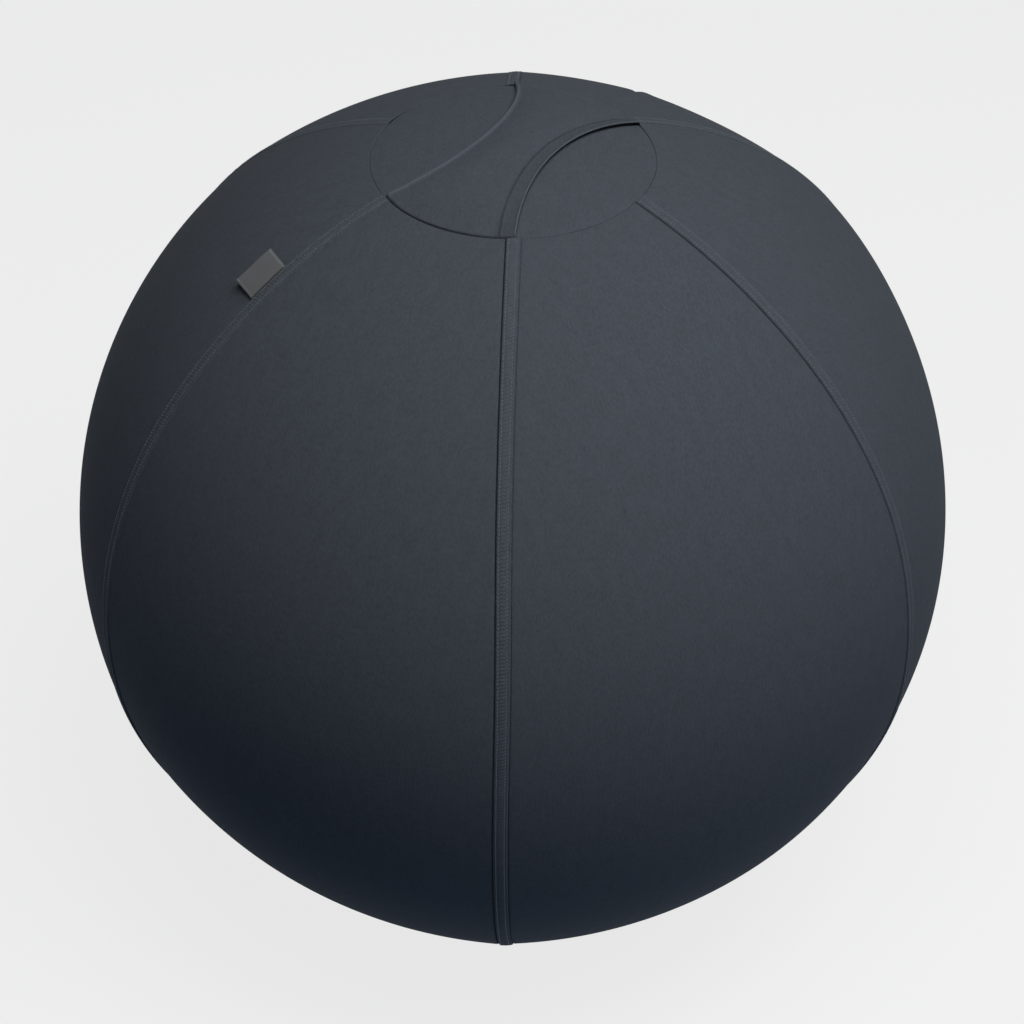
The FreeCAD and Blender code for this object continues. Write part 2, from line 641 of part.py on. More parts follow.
def plate_corners():
    tail = "Sizes.slider_tail / 2"
    mouth = "Sizes.slider_width / 2"
    return (
        (f"-{half_length}", f"-{tail}"),
        ("0", f"-{tail}"),
        (f"{half_length} * 0.5", f"-{mouth}"),
        (f"{half_length} - Sizes.slider_corner", f"-{mouth}"),
        (half_length, f"-{mouth} + Sizes.slider_corner"),
        (half_length, f"{mouth} - Sizes.slider_corner"),
        (f"{half_length} - Sizes.slider_corner", mouth),
        (f"{half_length} * 0.5", mouth),
        ("0", tail),
        (f"-{half_length}", tail),
    )


post_front = f"{half_length} - Sizes.post_setback"
post_corners = (
    (f"{post_front} - Sizes.post_length", "-Sizes.post_tail / 2"),
    (post_front, "-Sizes.post_nose / 2"),
    (post_front, "Sizes.post_nose / 2"),
    (f"{post_front} - Sizes.post_length", "Sizes.post_tail / 2"),
)
raise_outline(slider, "post", post_corners, f"-{outside}", f"2 * {outside}")
raise_outline(slider, "outer_plate", plate_corners(), inside, "Sizes.plate_wall")
raise_outline(slider, "inner_plate", plate_corners(), f"-{outside}", "Sizes.plate_wall")
for side, sign in (("upper", ""), ("lower", "-")):
    wall_corners = (
        (f"-{half_length}", f"{sign}{wall_inside}"),
        ("0", f"{sign}{wall_inside}"),
        ("0", f"{sign}Sizes.slider_tail / 2"),
        (f"-{half_length}", f"{sign}Sizes.slider_tail / 2"),
    )
    rail = f"({inside} - {slot} + Sizes.weld)"
    raise_outline(slider, f"{side}_outer_wall", wall_corners, slot, rail)
    raise_outline(slider, f"{side}_inner_wall", wall_corners, f"-{slot} - {rail}", rail)

bail_gap = "(Sizes.pivot_radius + Sizes.pivot_clearance)"
pivot_lift = f"({outside} + {bail_gap})"
bail_half = f"({bail_gap} + Sizes.bail_wall)"
bail_top = f"({outside} + 2 * {bail_gap} + Sizes.bail_wall)"
bail_sketch = new_sketch(slider, "bail_outline", "XZ_Plane")
bail_root = f"{outside} - Sizes.weld"
bail_corners = (
    (f"-{bail_half} - Sizes.bail_corner", bail_root),
    (f"-{bail_gap}", bail_root),
    (f"-{bail_gap}", f"{outside} + 2 * {bail_gap}"),
    (bail_gap, f"{outside} + 2 * {bail_gap}"),
    (bail_gap, bail_root),
    (f"{bail_half} + Sizes.bail_corner", bail_root),
    (bail_half, f"{bail_top} - Sizes.bail_corner"),
    (f"{bail_half} - Sizes.bail_corner", bail_top),
    (f"-{bail_half} + Sizes.bail_corner", bail_top),
    (f"-{bail_half}", f"{bail_top} - Sizes.bail_corner"),
)
draw_outline(bail_sketch, bail_corners)
bail = slider.newObject("PartDesign::Pad", "bail")
bail.Profile = bail_sketch
bail.Midplane = True
bail.setExpression("Length", "Sizes.bail_width")
document.recompute()
slider_place = on_zip(zip_end)
keep(slider, slider_place.Rotation, slider_place.Base)

# Zip pull: a plate with a window that the bail passes through, on a round crossbar
pull = new_body("zip_pull")
window_half = "(Sizes.bail_width / 2 + Sizes.pivot_clearance)"
half_wide = "Sizes.pull_width / 2"
pull_sketch = new_sketch(pull, "pull_outline", "YZ_Plane")
tip = "Sizes.pull_length"
shoulder = "Sizes.pull_window + Sizes.pull_bridge"
narrow = f"{half_wide} - Sizes.pull_taper"
pull_outer = (
    (f"-{half_wide}", "Sizes.pivot_radius / 2"),
    (half_wide, "Sizes.pivot_radius / 2"),
    (half_wide, shoulder),
    (narrow, f"{tip} - Sizes.pull_grip"),
    (narrow, f"{tip} - Sizes.pull_taper"),
    (f"{narrow} - Sizes.pull_taper", tip),
    (f"-({narrow}) + Sizes.pull_taper", tip),
    (f"-({narrow})", f"{tip} - Sizes.pull_taper"),
    (f"-({narrow})", f"{tip} - Sizes.pull_grip"),
    (f"-{half_wide}", shoulder),
)
draw_outline(pull_sketch, pull_outer)
blade = pull.newObject("PartDesign::Pad", "blade")
blade.Profile = pull_sketch
blade.Midplane = True
blade.setExpression("Length", "Sizes.pull_wall")
window_sketch = new_sketch(pull, "window_outline", "YZ_Plane")
window_corners = (
    (f"-{window_half}", "Sizes.pivot_radius / 4"),
    (window_half, "Sizes.pivot_radius / 4"),
    (window_half, "Sizes.pull_window"),
    (f"-{window_half}", "Sizes.pull_window"),
)
draw_outline(window_sketch, window_corners)
window = pull.newObject("PartDesign::Pocket", "window")
window.Profile = window_sketch
window.Midplane = True
window.Type = "ThroughAll"
bar_sketch = new_sketch(pull, "crossbar_outline", "XZ_Plane")
draw_circle(bar_sketch, "0", "0", "Sizes.pivot_radius")
bar = pull.newObject("PartDesign::Pad", "crossbar")
bar.Profile = bar_sketch
bar.Midplane = True
bar.setExpression("Length", "Sizes.pull_width")
document.recompute()
pivot_place = slider_place.multiply(FreeCAD.Placement(V(0, 0, number(pivot_lift)), FreeCAD.Rotation()))
keep(pull, pivot_place.Rotation, pivot_place.Base)

# Zip stops, crimped on the ends of the rows
top_stops = new_body("zip_top_stops")
top_half = "Sizes.top_stop_length / 2"
for side, sign in (("upper", ""), ("lower", "-")):
    stop_corners = (
        (f"-{top_half}", f"{sign}Sizes.top_stop_gap"),
        (top_half, f"{sign}Sizes.top_stop_gap"),
        (top_half, f"{sign}Sizes.tooth_foot"),
        (f"-{top_half}", f"{sign}Sizes.tooth_foot"),
    )
    raise_outline(top_stops, f"{side}_stop", stop_corners, "-Sizes.stop_height / 2", "Sizes.stop_height")
top_reach = f"({half_length} + Sizes.top_stop_clearance + {top_half}) / Places.zip_degree"
top_place = on_zip(zip_end + number(top_reach))
keep(top_stops, top_place.Rotation, top_place.Base)

bottom_stop = new_body("zip_bottom_stop")
bottom_half = "Sizes.bottom_stop_length / 2"
bottom_corners = (
    (f"-{bottom_half}", "-Sizes.tooth_foot"),
    (bottom_half, "-Sizes.tooth_foot"),
    (bottom_half, "Sizes.tooth_foot"),
    (f"-{bottom_half}", "Sizes.tooth_foot"),
)
raise_outline(bottom_stop, "stop_block", bottom_corners, "-Sizes.stop_height / 2", "Sizes.stop_height")
bottom_reach = f"({bottom_half} + Sizes.bottom_stop_clearance) / Places.zip_degree"
bottom_place = on_zip(-zip_end - number(bottom_reach))
keep(bottom_stop, bottom_place.Rotation, bottom_place.Base)

# Label: a folded ribbon sewn into the left front seam
label = new_body("label_tag")
ribbon_end = "(Sizes.label_width - Sizes.label_fold)"
inner_fold = "(Sizes.label_fold - Sizes.label_wall)"
ribbon_sketch = new_sketch(label, "ribbon_section", "XZ_Plane")
ribbon_corners = (
    ("0", "0"),
    (ribbon_end, "0", "Sizes.label_fold", -1),
    (f"{ribbon_end} + Sizes.label_fold", "Sizes.label_fold", "Sizes.label_fold", -1),
    (ribbon_end, "2 * Sizes.label_fold"),
    ("0", "2 * Sizes.label_fold"),
    ("0", "2 * Sizes.label_fold - Sizes.label_wall"),
    (ribbon_end, "2 * Sizes.label_fold - Sizes.label_wall", inner_fold, 1),
    (f"{ribbon_end} + {inner_fold}", "Sizes.label_fold", inner_fold, 1),
    (ribbon_end, "Sizes.label_wall"),
    ("0", "Sizes.label_wall"),
)
draw_outline(ribbon_sketch, ribbon_corners)
ribbon = label.newObject("PartDesign::Pad", "ribbon")
ribbon.Profile = ribbon_sketch
ribbon.Reversed = True
ribbon.setExpression("Length", "Sizes.label_length")
document.recompute()
flatness = size("panel_flatness")
half_panel = math.radians(number("Places.panel_angle") / 2)
polar = math.asin(size("rim_radius") / size("ball_radius")) + size("label_drop") / size("ball_radius")
across = flatness + size("ball_radius") * math.sin(polar)
inset = flatness * math.sin(half_panel)
seam_radius = math.sqrt(across * across - inset * inset) - flatness * math.cos(half_panel)
seam_height = size("ball_radius") * math.cos(polar)
seam = math.radians(-number("Places.panel_angle"))
out = V(math.sin(seam), -math.cos(seam), 0)
sideways = V(-math.cos(seam), -math.sin(seam), 0)
down = out * math.cos(polar) - V(0, 0, math.sin(polar))
normal = out * math.sin(polar) + V(0, 0, math.cos(polar))
label_spot = ball_centre + out * seam_radius + V(0, 0, seam_height) + normal * size("label_lift")
keep(label, FreeCAD.Rotation(sideways, down, normal, "ZXY"), label_spot)

document.recompute()

for item in document.Objects:
    if "Invalid" in item.State or "Error" in item.State:
        raise RuntimeError(f"{item.Name} was not built: {item.State}")
os.makedirs("parts", exist_ok=True)
for item in parts:
    shape = item.Shape
    if shape.isNull() or not shape.isValid() or not shape.Solids:
        raise RuntimeError(f"{item.Label} has no valid solid")
for item in parts:
    item.Shape.exportStep(f"parts/{item.Label}.step")
    print(item.Label, len(item.Shape.Solids), round(item.Shape.Volume))
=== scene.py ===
"""The finish of a balance ball chair: cover, handle, label, base, ring zip and studio."""

import math

import bmesh
import bpy
import numpy as np
from bpy.props import FloatProperty, FloatVectorProperty, PointerProperty
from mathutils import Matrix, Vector


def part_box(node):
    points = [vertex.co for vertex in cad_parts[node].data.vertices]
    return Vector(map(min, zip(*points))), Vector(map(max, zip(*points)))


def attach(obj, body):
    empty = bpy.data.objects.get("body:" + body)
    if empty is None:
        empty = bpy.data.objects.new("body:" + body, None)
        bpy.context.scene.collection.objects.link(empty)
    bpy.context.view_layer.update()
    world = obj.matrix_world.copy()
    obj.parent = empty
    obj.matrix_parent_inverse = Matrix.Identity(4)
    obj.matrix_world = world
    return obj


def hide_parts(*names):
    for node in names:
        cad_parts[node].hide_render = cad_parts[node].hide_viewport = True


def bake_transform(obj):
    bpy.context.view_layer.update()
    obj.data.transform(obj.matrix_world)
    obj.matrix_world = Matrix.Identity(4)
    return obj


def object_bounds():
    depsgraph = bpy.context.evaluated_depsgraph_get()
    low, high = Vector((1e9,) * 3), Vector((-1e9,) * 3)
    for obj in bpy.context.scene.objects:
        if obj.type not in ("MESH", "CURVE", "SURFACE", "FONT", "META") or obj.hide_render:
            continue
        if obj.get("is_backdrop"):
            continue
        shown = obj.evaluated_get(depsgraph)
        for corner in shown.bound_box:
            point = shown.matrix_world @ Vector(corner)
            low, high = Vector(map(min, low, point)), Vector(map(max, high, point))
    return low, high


bl_info = {
    "name": "Balance Ball Chair",
    "version": (1, 0, 0),
    "blender": (4, 5, 0),
    "location": "3D View > Sidebar > Chair",
    "description": "Dresses a balance ball chair with its cover, handle, label, base and ring zip",
    "category": "Object",
}

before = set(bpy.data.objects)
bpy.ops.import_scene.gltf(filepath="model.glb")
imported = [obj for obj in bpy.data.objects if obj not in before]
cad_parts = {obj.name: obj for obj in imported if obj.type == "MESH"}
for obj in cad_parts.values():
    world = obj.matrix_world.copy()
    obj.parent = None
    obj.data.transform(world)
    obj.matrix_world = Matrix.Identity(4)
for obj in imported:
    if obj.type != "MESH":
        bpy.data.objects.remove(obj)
CAD_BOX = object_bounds()

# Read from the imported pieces, in metres. Ring angles start at the front seam and run anticlockwise.
BALL_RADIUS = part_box("cover_panel_right")[1].x
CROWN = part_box("top_disc")[1].z
BALL_CENTRE = CROWN - BALL_RADIUS
DISC_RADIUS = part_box("top_disc")[1].x
SOLE_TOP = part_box("grip_sole")[1].z
SOLE_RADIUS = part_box("grip_sole")[1].x
STRAP_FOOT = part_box("handle_lining")[0].z
LINING_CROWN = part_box("handle_lining")[1].z
PANELS = ("front_right", "right", "back_right", "back_left", "left", "front_left")
PANEL_TURN = 2 * math.pi / len(PANELS)
HALF_PANEL = PANEL_TURN / 2
SEAMS = ("front", "right_front", "right_back", "back", "left_back", "left_front")

# How finely the sheets are divided
PANEL_ROWS = 240
PANEL_SHARES = 58
DISC_RINGS = 40
DISC_TURNS = 361
STRAP_ROWS = 60
STRAP_SHARES = 26
LINING_ROWS = 40
LINING_SHARES = 20


def length(name, default, description):
    """A size in metres for the sidebar."""
    kind = {"unit": "LENGTH", "subtype": "DISTANCE", "precision": 5}
    return FloatProperty(name=name, description=description, default=default, min=0, **kind)


def angle(name, degrees, description):
    """An angle for the sidebar, given in degrees."""
    return FloatProperty(
        name=name, description=description, default=math.radians(degrees), unit="ROTATION", subtype="ANGLE"
    )


def colour(name, default, description):
    """A colour for the sidebar."""
    return FloatVectorProperty(
        name=name, description=description, default=default, size=3, min=0, max=1, subtype="COLOR"
    )


def power(name, default, description):
    """The power of a light in watts for the sidebar."""
    return FloatProperty(name=name, description=description, default=default, min=0, unit="POWER")


def number(name, default, description):
    """A plain number for the sidebar."""
    return FloatProperty(name=name, description=description, default=default)


class ChairSizes(bpy.types.PropertyGroup):
    """Sizes of the cover, handle and base"""

    panel_flatness: length("Panel flatness", 0.033, "Ball's axis to the axis that a panel turns round")
    seam_gap: length("Seam gap", 0.0002, "Width of the ditch between two panels")
    seam_depth: length("Seam depth", 0.0024, "Depth of the ditch at the front seam and of the tucked ends")
    side_depth: length("Side seam depth", 0.0007, "Depth of the ditch at the other seams")
    edge_roll: length("Edge roll", 0.0011, "How far in from a ditch the padded fabric starts to roll over")
    rim_depth: length("Rim depth", 0.0008, "Depth of the seam round the top disc")
    rim_roll: length("Rim roll", 0.0006, "How far in from the rim's seam the fabric starts to roll over")
    rim_extra: length("Rim extra", 0.0001, "How much deeper the rim's seam is where the handle is sewn in")
    band_width: length("Band width", 0.0098, "Width of the folded and topstitched seam band")
    band_height: length("Band height", 0.0009, "How far a seam band stands over its panel")
    band_crown: length("Band crown", 0.00025, "How far a band swells between its rows of stitches")
    stitch_inset: length("Stitch inset", 0.0021, "Edge of a seam band to its row of stitches")
    stitch_groove: length("Stitch groove", 0.00025, "How deep a row of stitches pulls into the fabric")
    stitch_pitch: length("Stitch pitch", 0.0025, "Spacing of the topstitches")
    edge_groove: length("Edge groove", 0.0009, "Depth of the line along a seam band's sewn edge")
    thread_width: length("Thread width", 0.0008, "Thickness of the topstitching thread")
    seam_wander: length("Seam wander", 0.0003, "How far a seam strays from its line")
    seam_bow: length("Seam bow", 0.0040, "How far the front side seams bow, at most")
    pucker: length("Pucker", 0.00012, "Height of the puckers along the seams")
    rim_radius: length("Rim radius", DISC_RADIUS + 0.0006, "Radius of the seam round the top disc")
    ring_angle: angle("Ring angle", 30.5, "Bottom of the ball to the panels' lower edge")
    strap_rim: length("Strap rim", DISC_RADIUS + 0.0004, "Ball's axis to the ends of the handle")
    left_waist: length("Left waist", 0.019, "Ball's axis to the handle's left edge, at the waist")
    right_waist: length("Right waist", 0.034, "Ball's axis to the handle's right edge, at the waist")
    right_front: angle("Right edge, front", 3.5, "Ring angle of the front end of the handle's right edge")
    right_back: angle("Right edge, back", 118, "Ring angle of the back end of the handle's right edge")
    left_back: angle("Left edge, back", 182, "Ring angle of the back end of the handle's left edge")
    left_front: angle("Left edge, front", 302, "Ring angle of the front end of the handle's left edge")
    lining_wall: length("Lining wall", 0.0008, "Thickness of the handle's lining")
    strap_loft: length("Strap loft", 0.0030, "Lining's inner face to the top of the handle")
    strap_end: length("Strap end", 0.0005, "Height of the handle over the top disc where it is sewn in")
    strap_taper: length("Strap taper", 0.020, "Over what distance the handle comes down to the rim")
    strap_tuck: length("Strap tuck", 0.0012, "How far in from the rim the handle starts to roll under")
    piping: length("Piping", 0.0015, "Radius of the piping in the handle's left edge")
    hem_fold: length("Hem fold", 0.0009, "Radius of the fold at the handle's right edge")
    left_stand: length("Left edge height", 0.0026, "Top disc to the handle along its left edge")
    right_stand: length("Right edge height", 0.0034, "Top disc to the handle along its right edge")
    hem_valley: length("Hem valley", 0.0011, "Depth of the hollow between the hem line and the edge")
    lining_setback: length("Lining setback", 0.008, "Handle's right edge to its lining")
    hem_width: length("Hem width", 0.009, "Fold at the handle's right edge to its hem line")
    core_width: length("Core width", 0.026, "Width of the webbing inside the handle")
    core_length: length("Core length", 0.116, "Length of the webbing inside the handle")
    label_length: length("Label length", 0.031, "Length of the label along its seam")
    label_width: length("Label width", 0.0205, "How far the label stands out of its seam")
    label_fold: length("Label fold", 0.0007, "Radius of the fold in the label's outer end")
    label_curl: length("Label curl", 0.0021, "How far the label's outer end stands off the cover")
    ribbon_wall: length("Ribbon wall", 0.0003, "Thickness of the label's ribbon")
    label_drop: length("Label drop", 0.0775, "Rim to the upper end of the label, along its seam")
    tape_width: length("Tape width", 0.013, "Visible width of one zip tape")
    tape_wall: length("Tape wall", 0.0011, "Thickness of a zip tape")
    tape_depth: length("Tape depth", 0.0006, "How far a zip tape lies inside the base's slope")
    zip_half: length("Zip half width", 0.0031, "Middle of the zip to the edge of its tape")
    shield_lap: length("Shield lap", 0.004, "How far the cloth behind the zip's ends laps each tape")
    shield_depth: length("Shield depth", 0.0028, "Base's slope to the cloth behind the zip's ends")


class ChairColours(bpy.types.PropertyGroup):
    """Colours of the fabrics, rubber, vinyl and metal"""

    cover: colour("Cover", (0.062, 0.071, 0.084), "Anthracite knit of the cover")
    # The thread's colour is also painted along the handle's edges as a highlight
    thread: colour("Thread", (0.094, 0.107, 0.125), "Topstitching thread")
    lining: colour("Lining", (0.030, 0.034, 0.040), "Lining under the handle")
    webbing: colour("Webbing", (0.020, 0.021, 0.024), "Webbing inside the handle")
    base: colour("Base", (0.024, 0.026, 0.030), "Woven fabric of the base")
    rubber: colour("Rubber", (0.018, 0.018, 0.019), "Grip sole")
    sandbag: colour("Sandbag", (0.25, 0.24, 0.22), "Cloth of the ballast pouches")
    vinyl: colour("Vinyl", (0.22, 0.24, 0.26), "Inflated inner ball")
    plug: colour("Plug", (0.75, 0.75, 0.73), "Valve plug")
    tape: colour("Tape", (0.018, 0.019, 0.021), "Zip tapes")
    teeth: colour("Teeth", (0.020, 0.020, 0.022), "Moulded zip teeth")
    metal: colour("Metal", (0.030, 0.030, 0.032), "Painted slider and pull of the zip")
    ribbon: colour("Ribbon", (0.088, 0.093, 0.095), "Ground of the woven label")
    ribbon_border: colour("Ribbon border", (0.15, 0.155, 0.155), "Border woven round the label")
    floor: colour("Floor", (0.80, 0.80, 0.80), "Studio floor")


class StudioSettings(bpy.types.PropertyGroup):
    """Camera and lights"""

    azimuth: angle("Azimuth", 2.4, "Turn of the camera round the chair")
    elevation: angle("Elevation", 39.8, "Height of the camera over the horizon")
    distance: length("Distance", 1.925, "Camera to the middle of the ball")
    lens: FloatProperty(name="Lens", description="Focal length", default=89.3, unit="CAMERA")
    shift_x: number("Shift X", -0.0011, "Sideways shift of the lens")
    shift_y: number("Shift Y", -0.0046, "Upward shift of the lens")
    key_light: power("Key", 21.5, "Light on the right")
    top_light: power("Top", 22.5, "Light overhead")
    rear_light: power("Rear", 2.5, "Light behind right")
    side_light: power("Side", 4.8, "Low light on the right")
    lamp_width: length("Lamp width", 1.3, "Width of each round light")
    lamp_distance: length("Lamp distance", 2.4, "Middle of the ball to each light")
    ambient: number("Ambient", 0.05, "Light from all round")
    paleness: number("Paleness", 0.93, "Brightness of the background")
    pale_share: number("Pale share", 0.85, "Share of the floor's look that is plain background")
    bounce: number("Bounce", 0.21, "Share of the light that the floor throws back")
    floor_width: length("Floor width", 60, "Width of the studio floor")


# Shaders
class Wire:
    """A socket of a shader, on which sums are written as plain expressions."""

    def __init__(self, finish, socket):
        self.finish = finish
        self.socket = socket

    def sum(self, operation, *values):
        return self.finish.node("ShaderNodeMath", {"operation": operation}, dict(enumerate(values)))

    def __add__(self, other):
        return self.sum("ADD", self, other)

    def __sub__(self, other):
        return self.sum("SUBTRACT", self, other)

    def __rsub__(self, other):
        return self.sum("SUBTRACT", other, self)

    def __mul__(self, other):
        return self.sum("MULTIPLY", self, other)

    def __truediv__(self, other):
        return self.sum("DIVIDE", self, other)

    __radd__ = __add__
    __rmul__ = __mul__

    def wave(self, pitch):
        """0 to 1 and back once in each pitch."""
        return (self * (2 * math.pi / pitch)).sum("SINE", self * (2 * math.pi / pitch)) * 0.5 + 0.5

    def step(self, low, high):
        """0 below low, 1 above high and smooth between."""
        settings = {"interpolation_type": "SMOOTHSTEP"}
        values = {"Value": self, "From Min": low, "From Max": high}
        return self.finish.node("ShaderNodeMapRange", settings, values)


class Finish:
    """One material, with the nodes that make it."""

    def __init__(self, name, tint, **shader):
        self.material = bpy.data.materials.new(name)
        self.material.use_nodes = True
        self.material.diffuse_color = (*tint, 1)
        self.tree = self.material.node_tree
        self.shader = self.tree.nodes["Principled BSDF"]
        self.tint = tuple(tint)
        self.feed("Base Color", (*tint, 1))
        for socket, value in shader.items():
            self.feed(socket.replace("_", " "), value)

    def feed(self, socket, value):
        """Sets a socket of the main shader, or wires it."""
        self.join(self.shader.inputs[socket], value)

    def join(self, socket, value):
        if isinstance(value, Wire):
            self.tree.links.new(value.socket, socket)
        else:
            socket.default_value = value

    def node(self, kind, settings=None, values=None, output=0):
        """A node with its settings made first, then its sockets set or wired."""
        made = self.tree.nodes.new(kind)
        for name, value in (settings or {}).items():
            setattr(made, name, value)
        for socket, value in (values or {}).items():
            self.join(made.inputs[socket], value)
        return Wire(self, made.outputs[output])

    def cloth_map(self):
        """Across and along the cloth, in metres."""
        place = self.node("ShaderNodeUVMap", {"uv_map": "cloth"})
        return self.split(place) + (place,)

    def place(self):
        return self.node("ShaderNodeTexCoord", output="Object")

    def split(self, vector):
        parts = self.node("ShaderNodeSeparateXYZ", None, {0: vector}).socket.node.outputs
        return tuple(Wire(self, part) for part in parts)[:2]

    def stretch(self, vector, across, along, deep=1.0):
        """The vector scaled by a different amount each way."""
        values = {0: vector, 1: (across, along, deep)}
        return self.node("ShaderNodeVectorMath", {"operation": "MULTIPLY"}, values)

    def noise(self, vector, scale, detail=2.0, roughness=0.5):
        values = {"Vector": vector, "Scale": scale, "Detail": detail, "Roughness": roughness}
        return self.node("ShaderNodeTexNoise", None, values)

    def blend(self, share, first, second):
        """A colour between two colours."""
        values = {0: share, 6: first, 7: second}
        return self.node("ShaderNodeMix", {"data_type": "RGBA"}, values, output=2)

    def shade(self, share, dark, light):
        """The finish's own colour, from dark times it to light times it."""
        low = (*(dark * part for part in self.tint), 1)
        high = (*(light * part for part in self.tint), 1)
        return self.blend(share, low, high)

    def emboss(self, height, distance, strength=1.0):
        values = {"Height": height, "Distance": distance, "Strength": strength}
        self.feed("Normal", self.node("ShaderNodeBump", None, values))


# Colour of the knit in the dark under a fold
FOLD_SHADOW = (0.006, 0.007, 0.009)


def knit_finish(name, tint, thread, stitch_pitch):
    """Fine stretch knit with upright wales, a faint heather and ribs across the seam bands.

    The mark "band" is 1 on a seam band. The mark "edge" is painted light and shade: at 1 a painted
    highlight as light as the thread where an edge catches the light, at -1 painted shade under a fold.
    """
    finish = Finish(name, tint, Roughness=0.9, Specular_IOR_Level=0.08)
    across, along, place = finish.cloth_map()
    wale_pitch, course_pitch = 0.0011, 0.0009
    wale = across.wave(wale_pitch)
    course = (along + wale * 0.0004).wave(course_pitch)
    knit = wale * 0.55 + course * 0.45
    heather = finish.noise(finish.stretch(place, 620, 300), 1.0, 3.0, 0.65)
    cloud = finish.noise(finish.stretch(place, 150, 60), 1.0, 2.0)
    mottle = heather * 0.62 + cloud * 0.22 + knit * 0.16
    band = finish.node("ShaderNodeAttribute", {"attribute_name": "band"}, output="Fac")
    ribs = along.wave(stitch_pitch) * band
    tone = mottle.step(0.22, 0.78) + band * 0.12 + ribs * 0.16
    # The "edge" mark paints light into the colour: a highlight in the thread's colour, and shade under a
    # fold
    edge = finish.node("ShaderNodeAttribute", {"attribute_name": "edge"}, output="Fac")
    knit_with_painted_highlight = finish.blend(edge, finish.shade(tone, 0.80, 1.22), (*thread, 1))
    finish.feed("Base Color", finish.blend(0 - edge, knit_with_painted_highlight, (*FOLD_SHADOW, 1)))
    finish.emboss(knit * 0.6 + heather * 0.8 + ribs * 0.9, 0.00022, 0.75)
    return finish.material


def thread_finish(tint):
    finish = Finish("polyester_thread", tint, Roughness=0.6, Specular_IOR_Level=0.4)
    fibre = finish.noise(finish.place(), 2600.0)
    finish.feed("Base Color", finish.shade(fibre.step(0.3, 0.7), 0.75, 1.2))
    return finish.material


def woven_finish(name, tint, pitch, relief):
    """Plain weave of a given yarn pitch."""
    finish = Finish(name, tint, Roughness=0.8, Specular_IOR_Level=0.3)
    across, along, place = finish.cloth_map()
    warp = across.wave(pitch)
    weft = along.wave(pitch)
    weave = warp * weft + (1 - warp) * (1 - weft)
    slub = finish.noise(finish.stretch(place, 240, 900), 1.0, 2.0)
    finish.feed("Base Color", finish.shade((weave * 0.5 + slub * 0.5).step(0.2, 0.8), 0.7, 1.3))
    finish.emboss(weave, relief)
    return finish.material


def ribbon_finish(tint, border, sizes):
    """Woven label with a lighter border and nothing on it."""
    finish = Finish("woven_label", tint, Roughness=0.55, Specular_IOR_Level=0.35)
    across, along, place = finish.cloth_map()
    inset = 0.0014
    near_end = (along - inset).sum("ABSOLUTE", along - inset)
    far_end = (along - (sizes.label_length - inset)).sum("ABSOLUTE", along - (sizes.label_length - inset))
    edge = near_end.sum("MINIMUM", near_end, far_end)
    rib = across.wave(0.0005)
    ground = finish.shade(rib * 0.6 + finish.noise(place, 1600.0) * 0.4, 0.75, 1.2)
    finish.feed("Base Color", finish.blend(1 - edge.step(0.0002, 0.0006), ground, (*border, 1)))
    finish.emboss(rib, 0.00012)
    return finish.material


def rubber_finish(tint):
    finish = Finish("grip_rubber", tint, Roughness=0.7, Specular_IOR_Level=0.4)
    grain = finish.noise(finish.place(), 900.0, 3.0)
    finish.feed("Roughness", grain.step(0.3, 0.7) * 0.2 + 0.6)
    finish.feed("Base Color", finish.shade(grain, 0.8, 1.25))
    finish.emboss(grain, 0.0001)
    return finish.material


def vinyl_finish(name, tint, rings):
    """Soft vinyl, ribbed in rings round the ball where rings is the pitch."""
    finish = Finish(name, tint, Roughness=0.42, Specular_IOR_Level=0.5)
    bloom = finish.noise(finish.place(), 30.0, 4.0)
    finish.feed("Roughness", bloom * 0.25 + 0.32)
    finish.feed("Base Color", finish.shade(bloom, 0.88, 1.12))
    parts = finish.node("ShaderNodeSeparateXYZ", None, {0: finish.place()}, output="Z")
    finish.emboss(parts.wave(rings), 0.0003)
    return finish.material


def moulded_finish(name, tint, roughness, metallic=0.0):
    """Moulded plastic or painted metal, rubbed a little along its grain."""
    finish = Finish(name, tint, Roughness=roughness, Metallic=metallic, Specular_IOR_Level=0.5)
    grain = finish.noise(finish.place(), 1400.0, 2.0)
    wear = finish.noise(finish.place(), 260.0, 4.0)
    finish.feed("Base Color", finish.shade(wear.step(0.35, 0.75), 0.85, 1.35))
    finish.feed("Roughness", wear.step(0.3, 0.8) * 0.22 + roughness)
    finish.emboss(grain, 0.00005)
    return finish.material


# Meshes
def lay_cloth(name, places, cloth_map, finish, weld=False):
    """A sheet from rows and columns of places, top row first, with its own map in metres."""
    rows, columns = places.shape[:2]
    index = np.arange(rows * columns).reshape(rows, columns)
    faces = np.stack([index[:-1, :-1], index[1:, :-1], index[1:, 1:], index[:-1, 1:]], axis=-1)
    mesh = bpy.data.meshes.new(name)
    mesh.from_pydata(places.reshape(-1, 3).tolist(), [], faces.reshape(-1, 4).tolist())
    corners = np.zeros(len(mesh.loops), np.int32)
    mesh.loops.foreach_get("vertex_index", corners)
    layer = mesh.uv_layers.new(name="cloth")
    layer.data.foreach_set("uv", cloth_map.reshape(-1, 2)[corners].astype(np.float32).ravel())
    mesh.materials.append(finish)
    if weld:
        shell = bmesh.new()
        shell.from_mesh(mesh)
        bmesh.ops.remove_doubles(shell, verts=shell.verts, dist=1e-6)
        shell.to_mesh(mesh)
        shell.free()
    mesh.shade_smooth()
    piece = bpy.data.objects.new(name, mesh)
    bpy.context.scene.collection.objects.link(piece)
    return piece


def roll(share):
    """A quarter round from 0 to 1."""
    return np.sqrt(1 - (1 - np.clip(share, 0, 1)) ** 2)


def ease(share):
    """0 to 1 with a soft start and a soft end."""
    share = np.clip(share, 0, 1)
    return share * share * (3 - 2 * share)


def dip(distance, width):
    """A soft groove, 1 at its middle."""
    return np.exp(-((distance / width) ** 2))


def near(place, reach, count):
    """Evenly spaced places either side of one."""
    return place + reach * np.linspace(-1, 1, count)


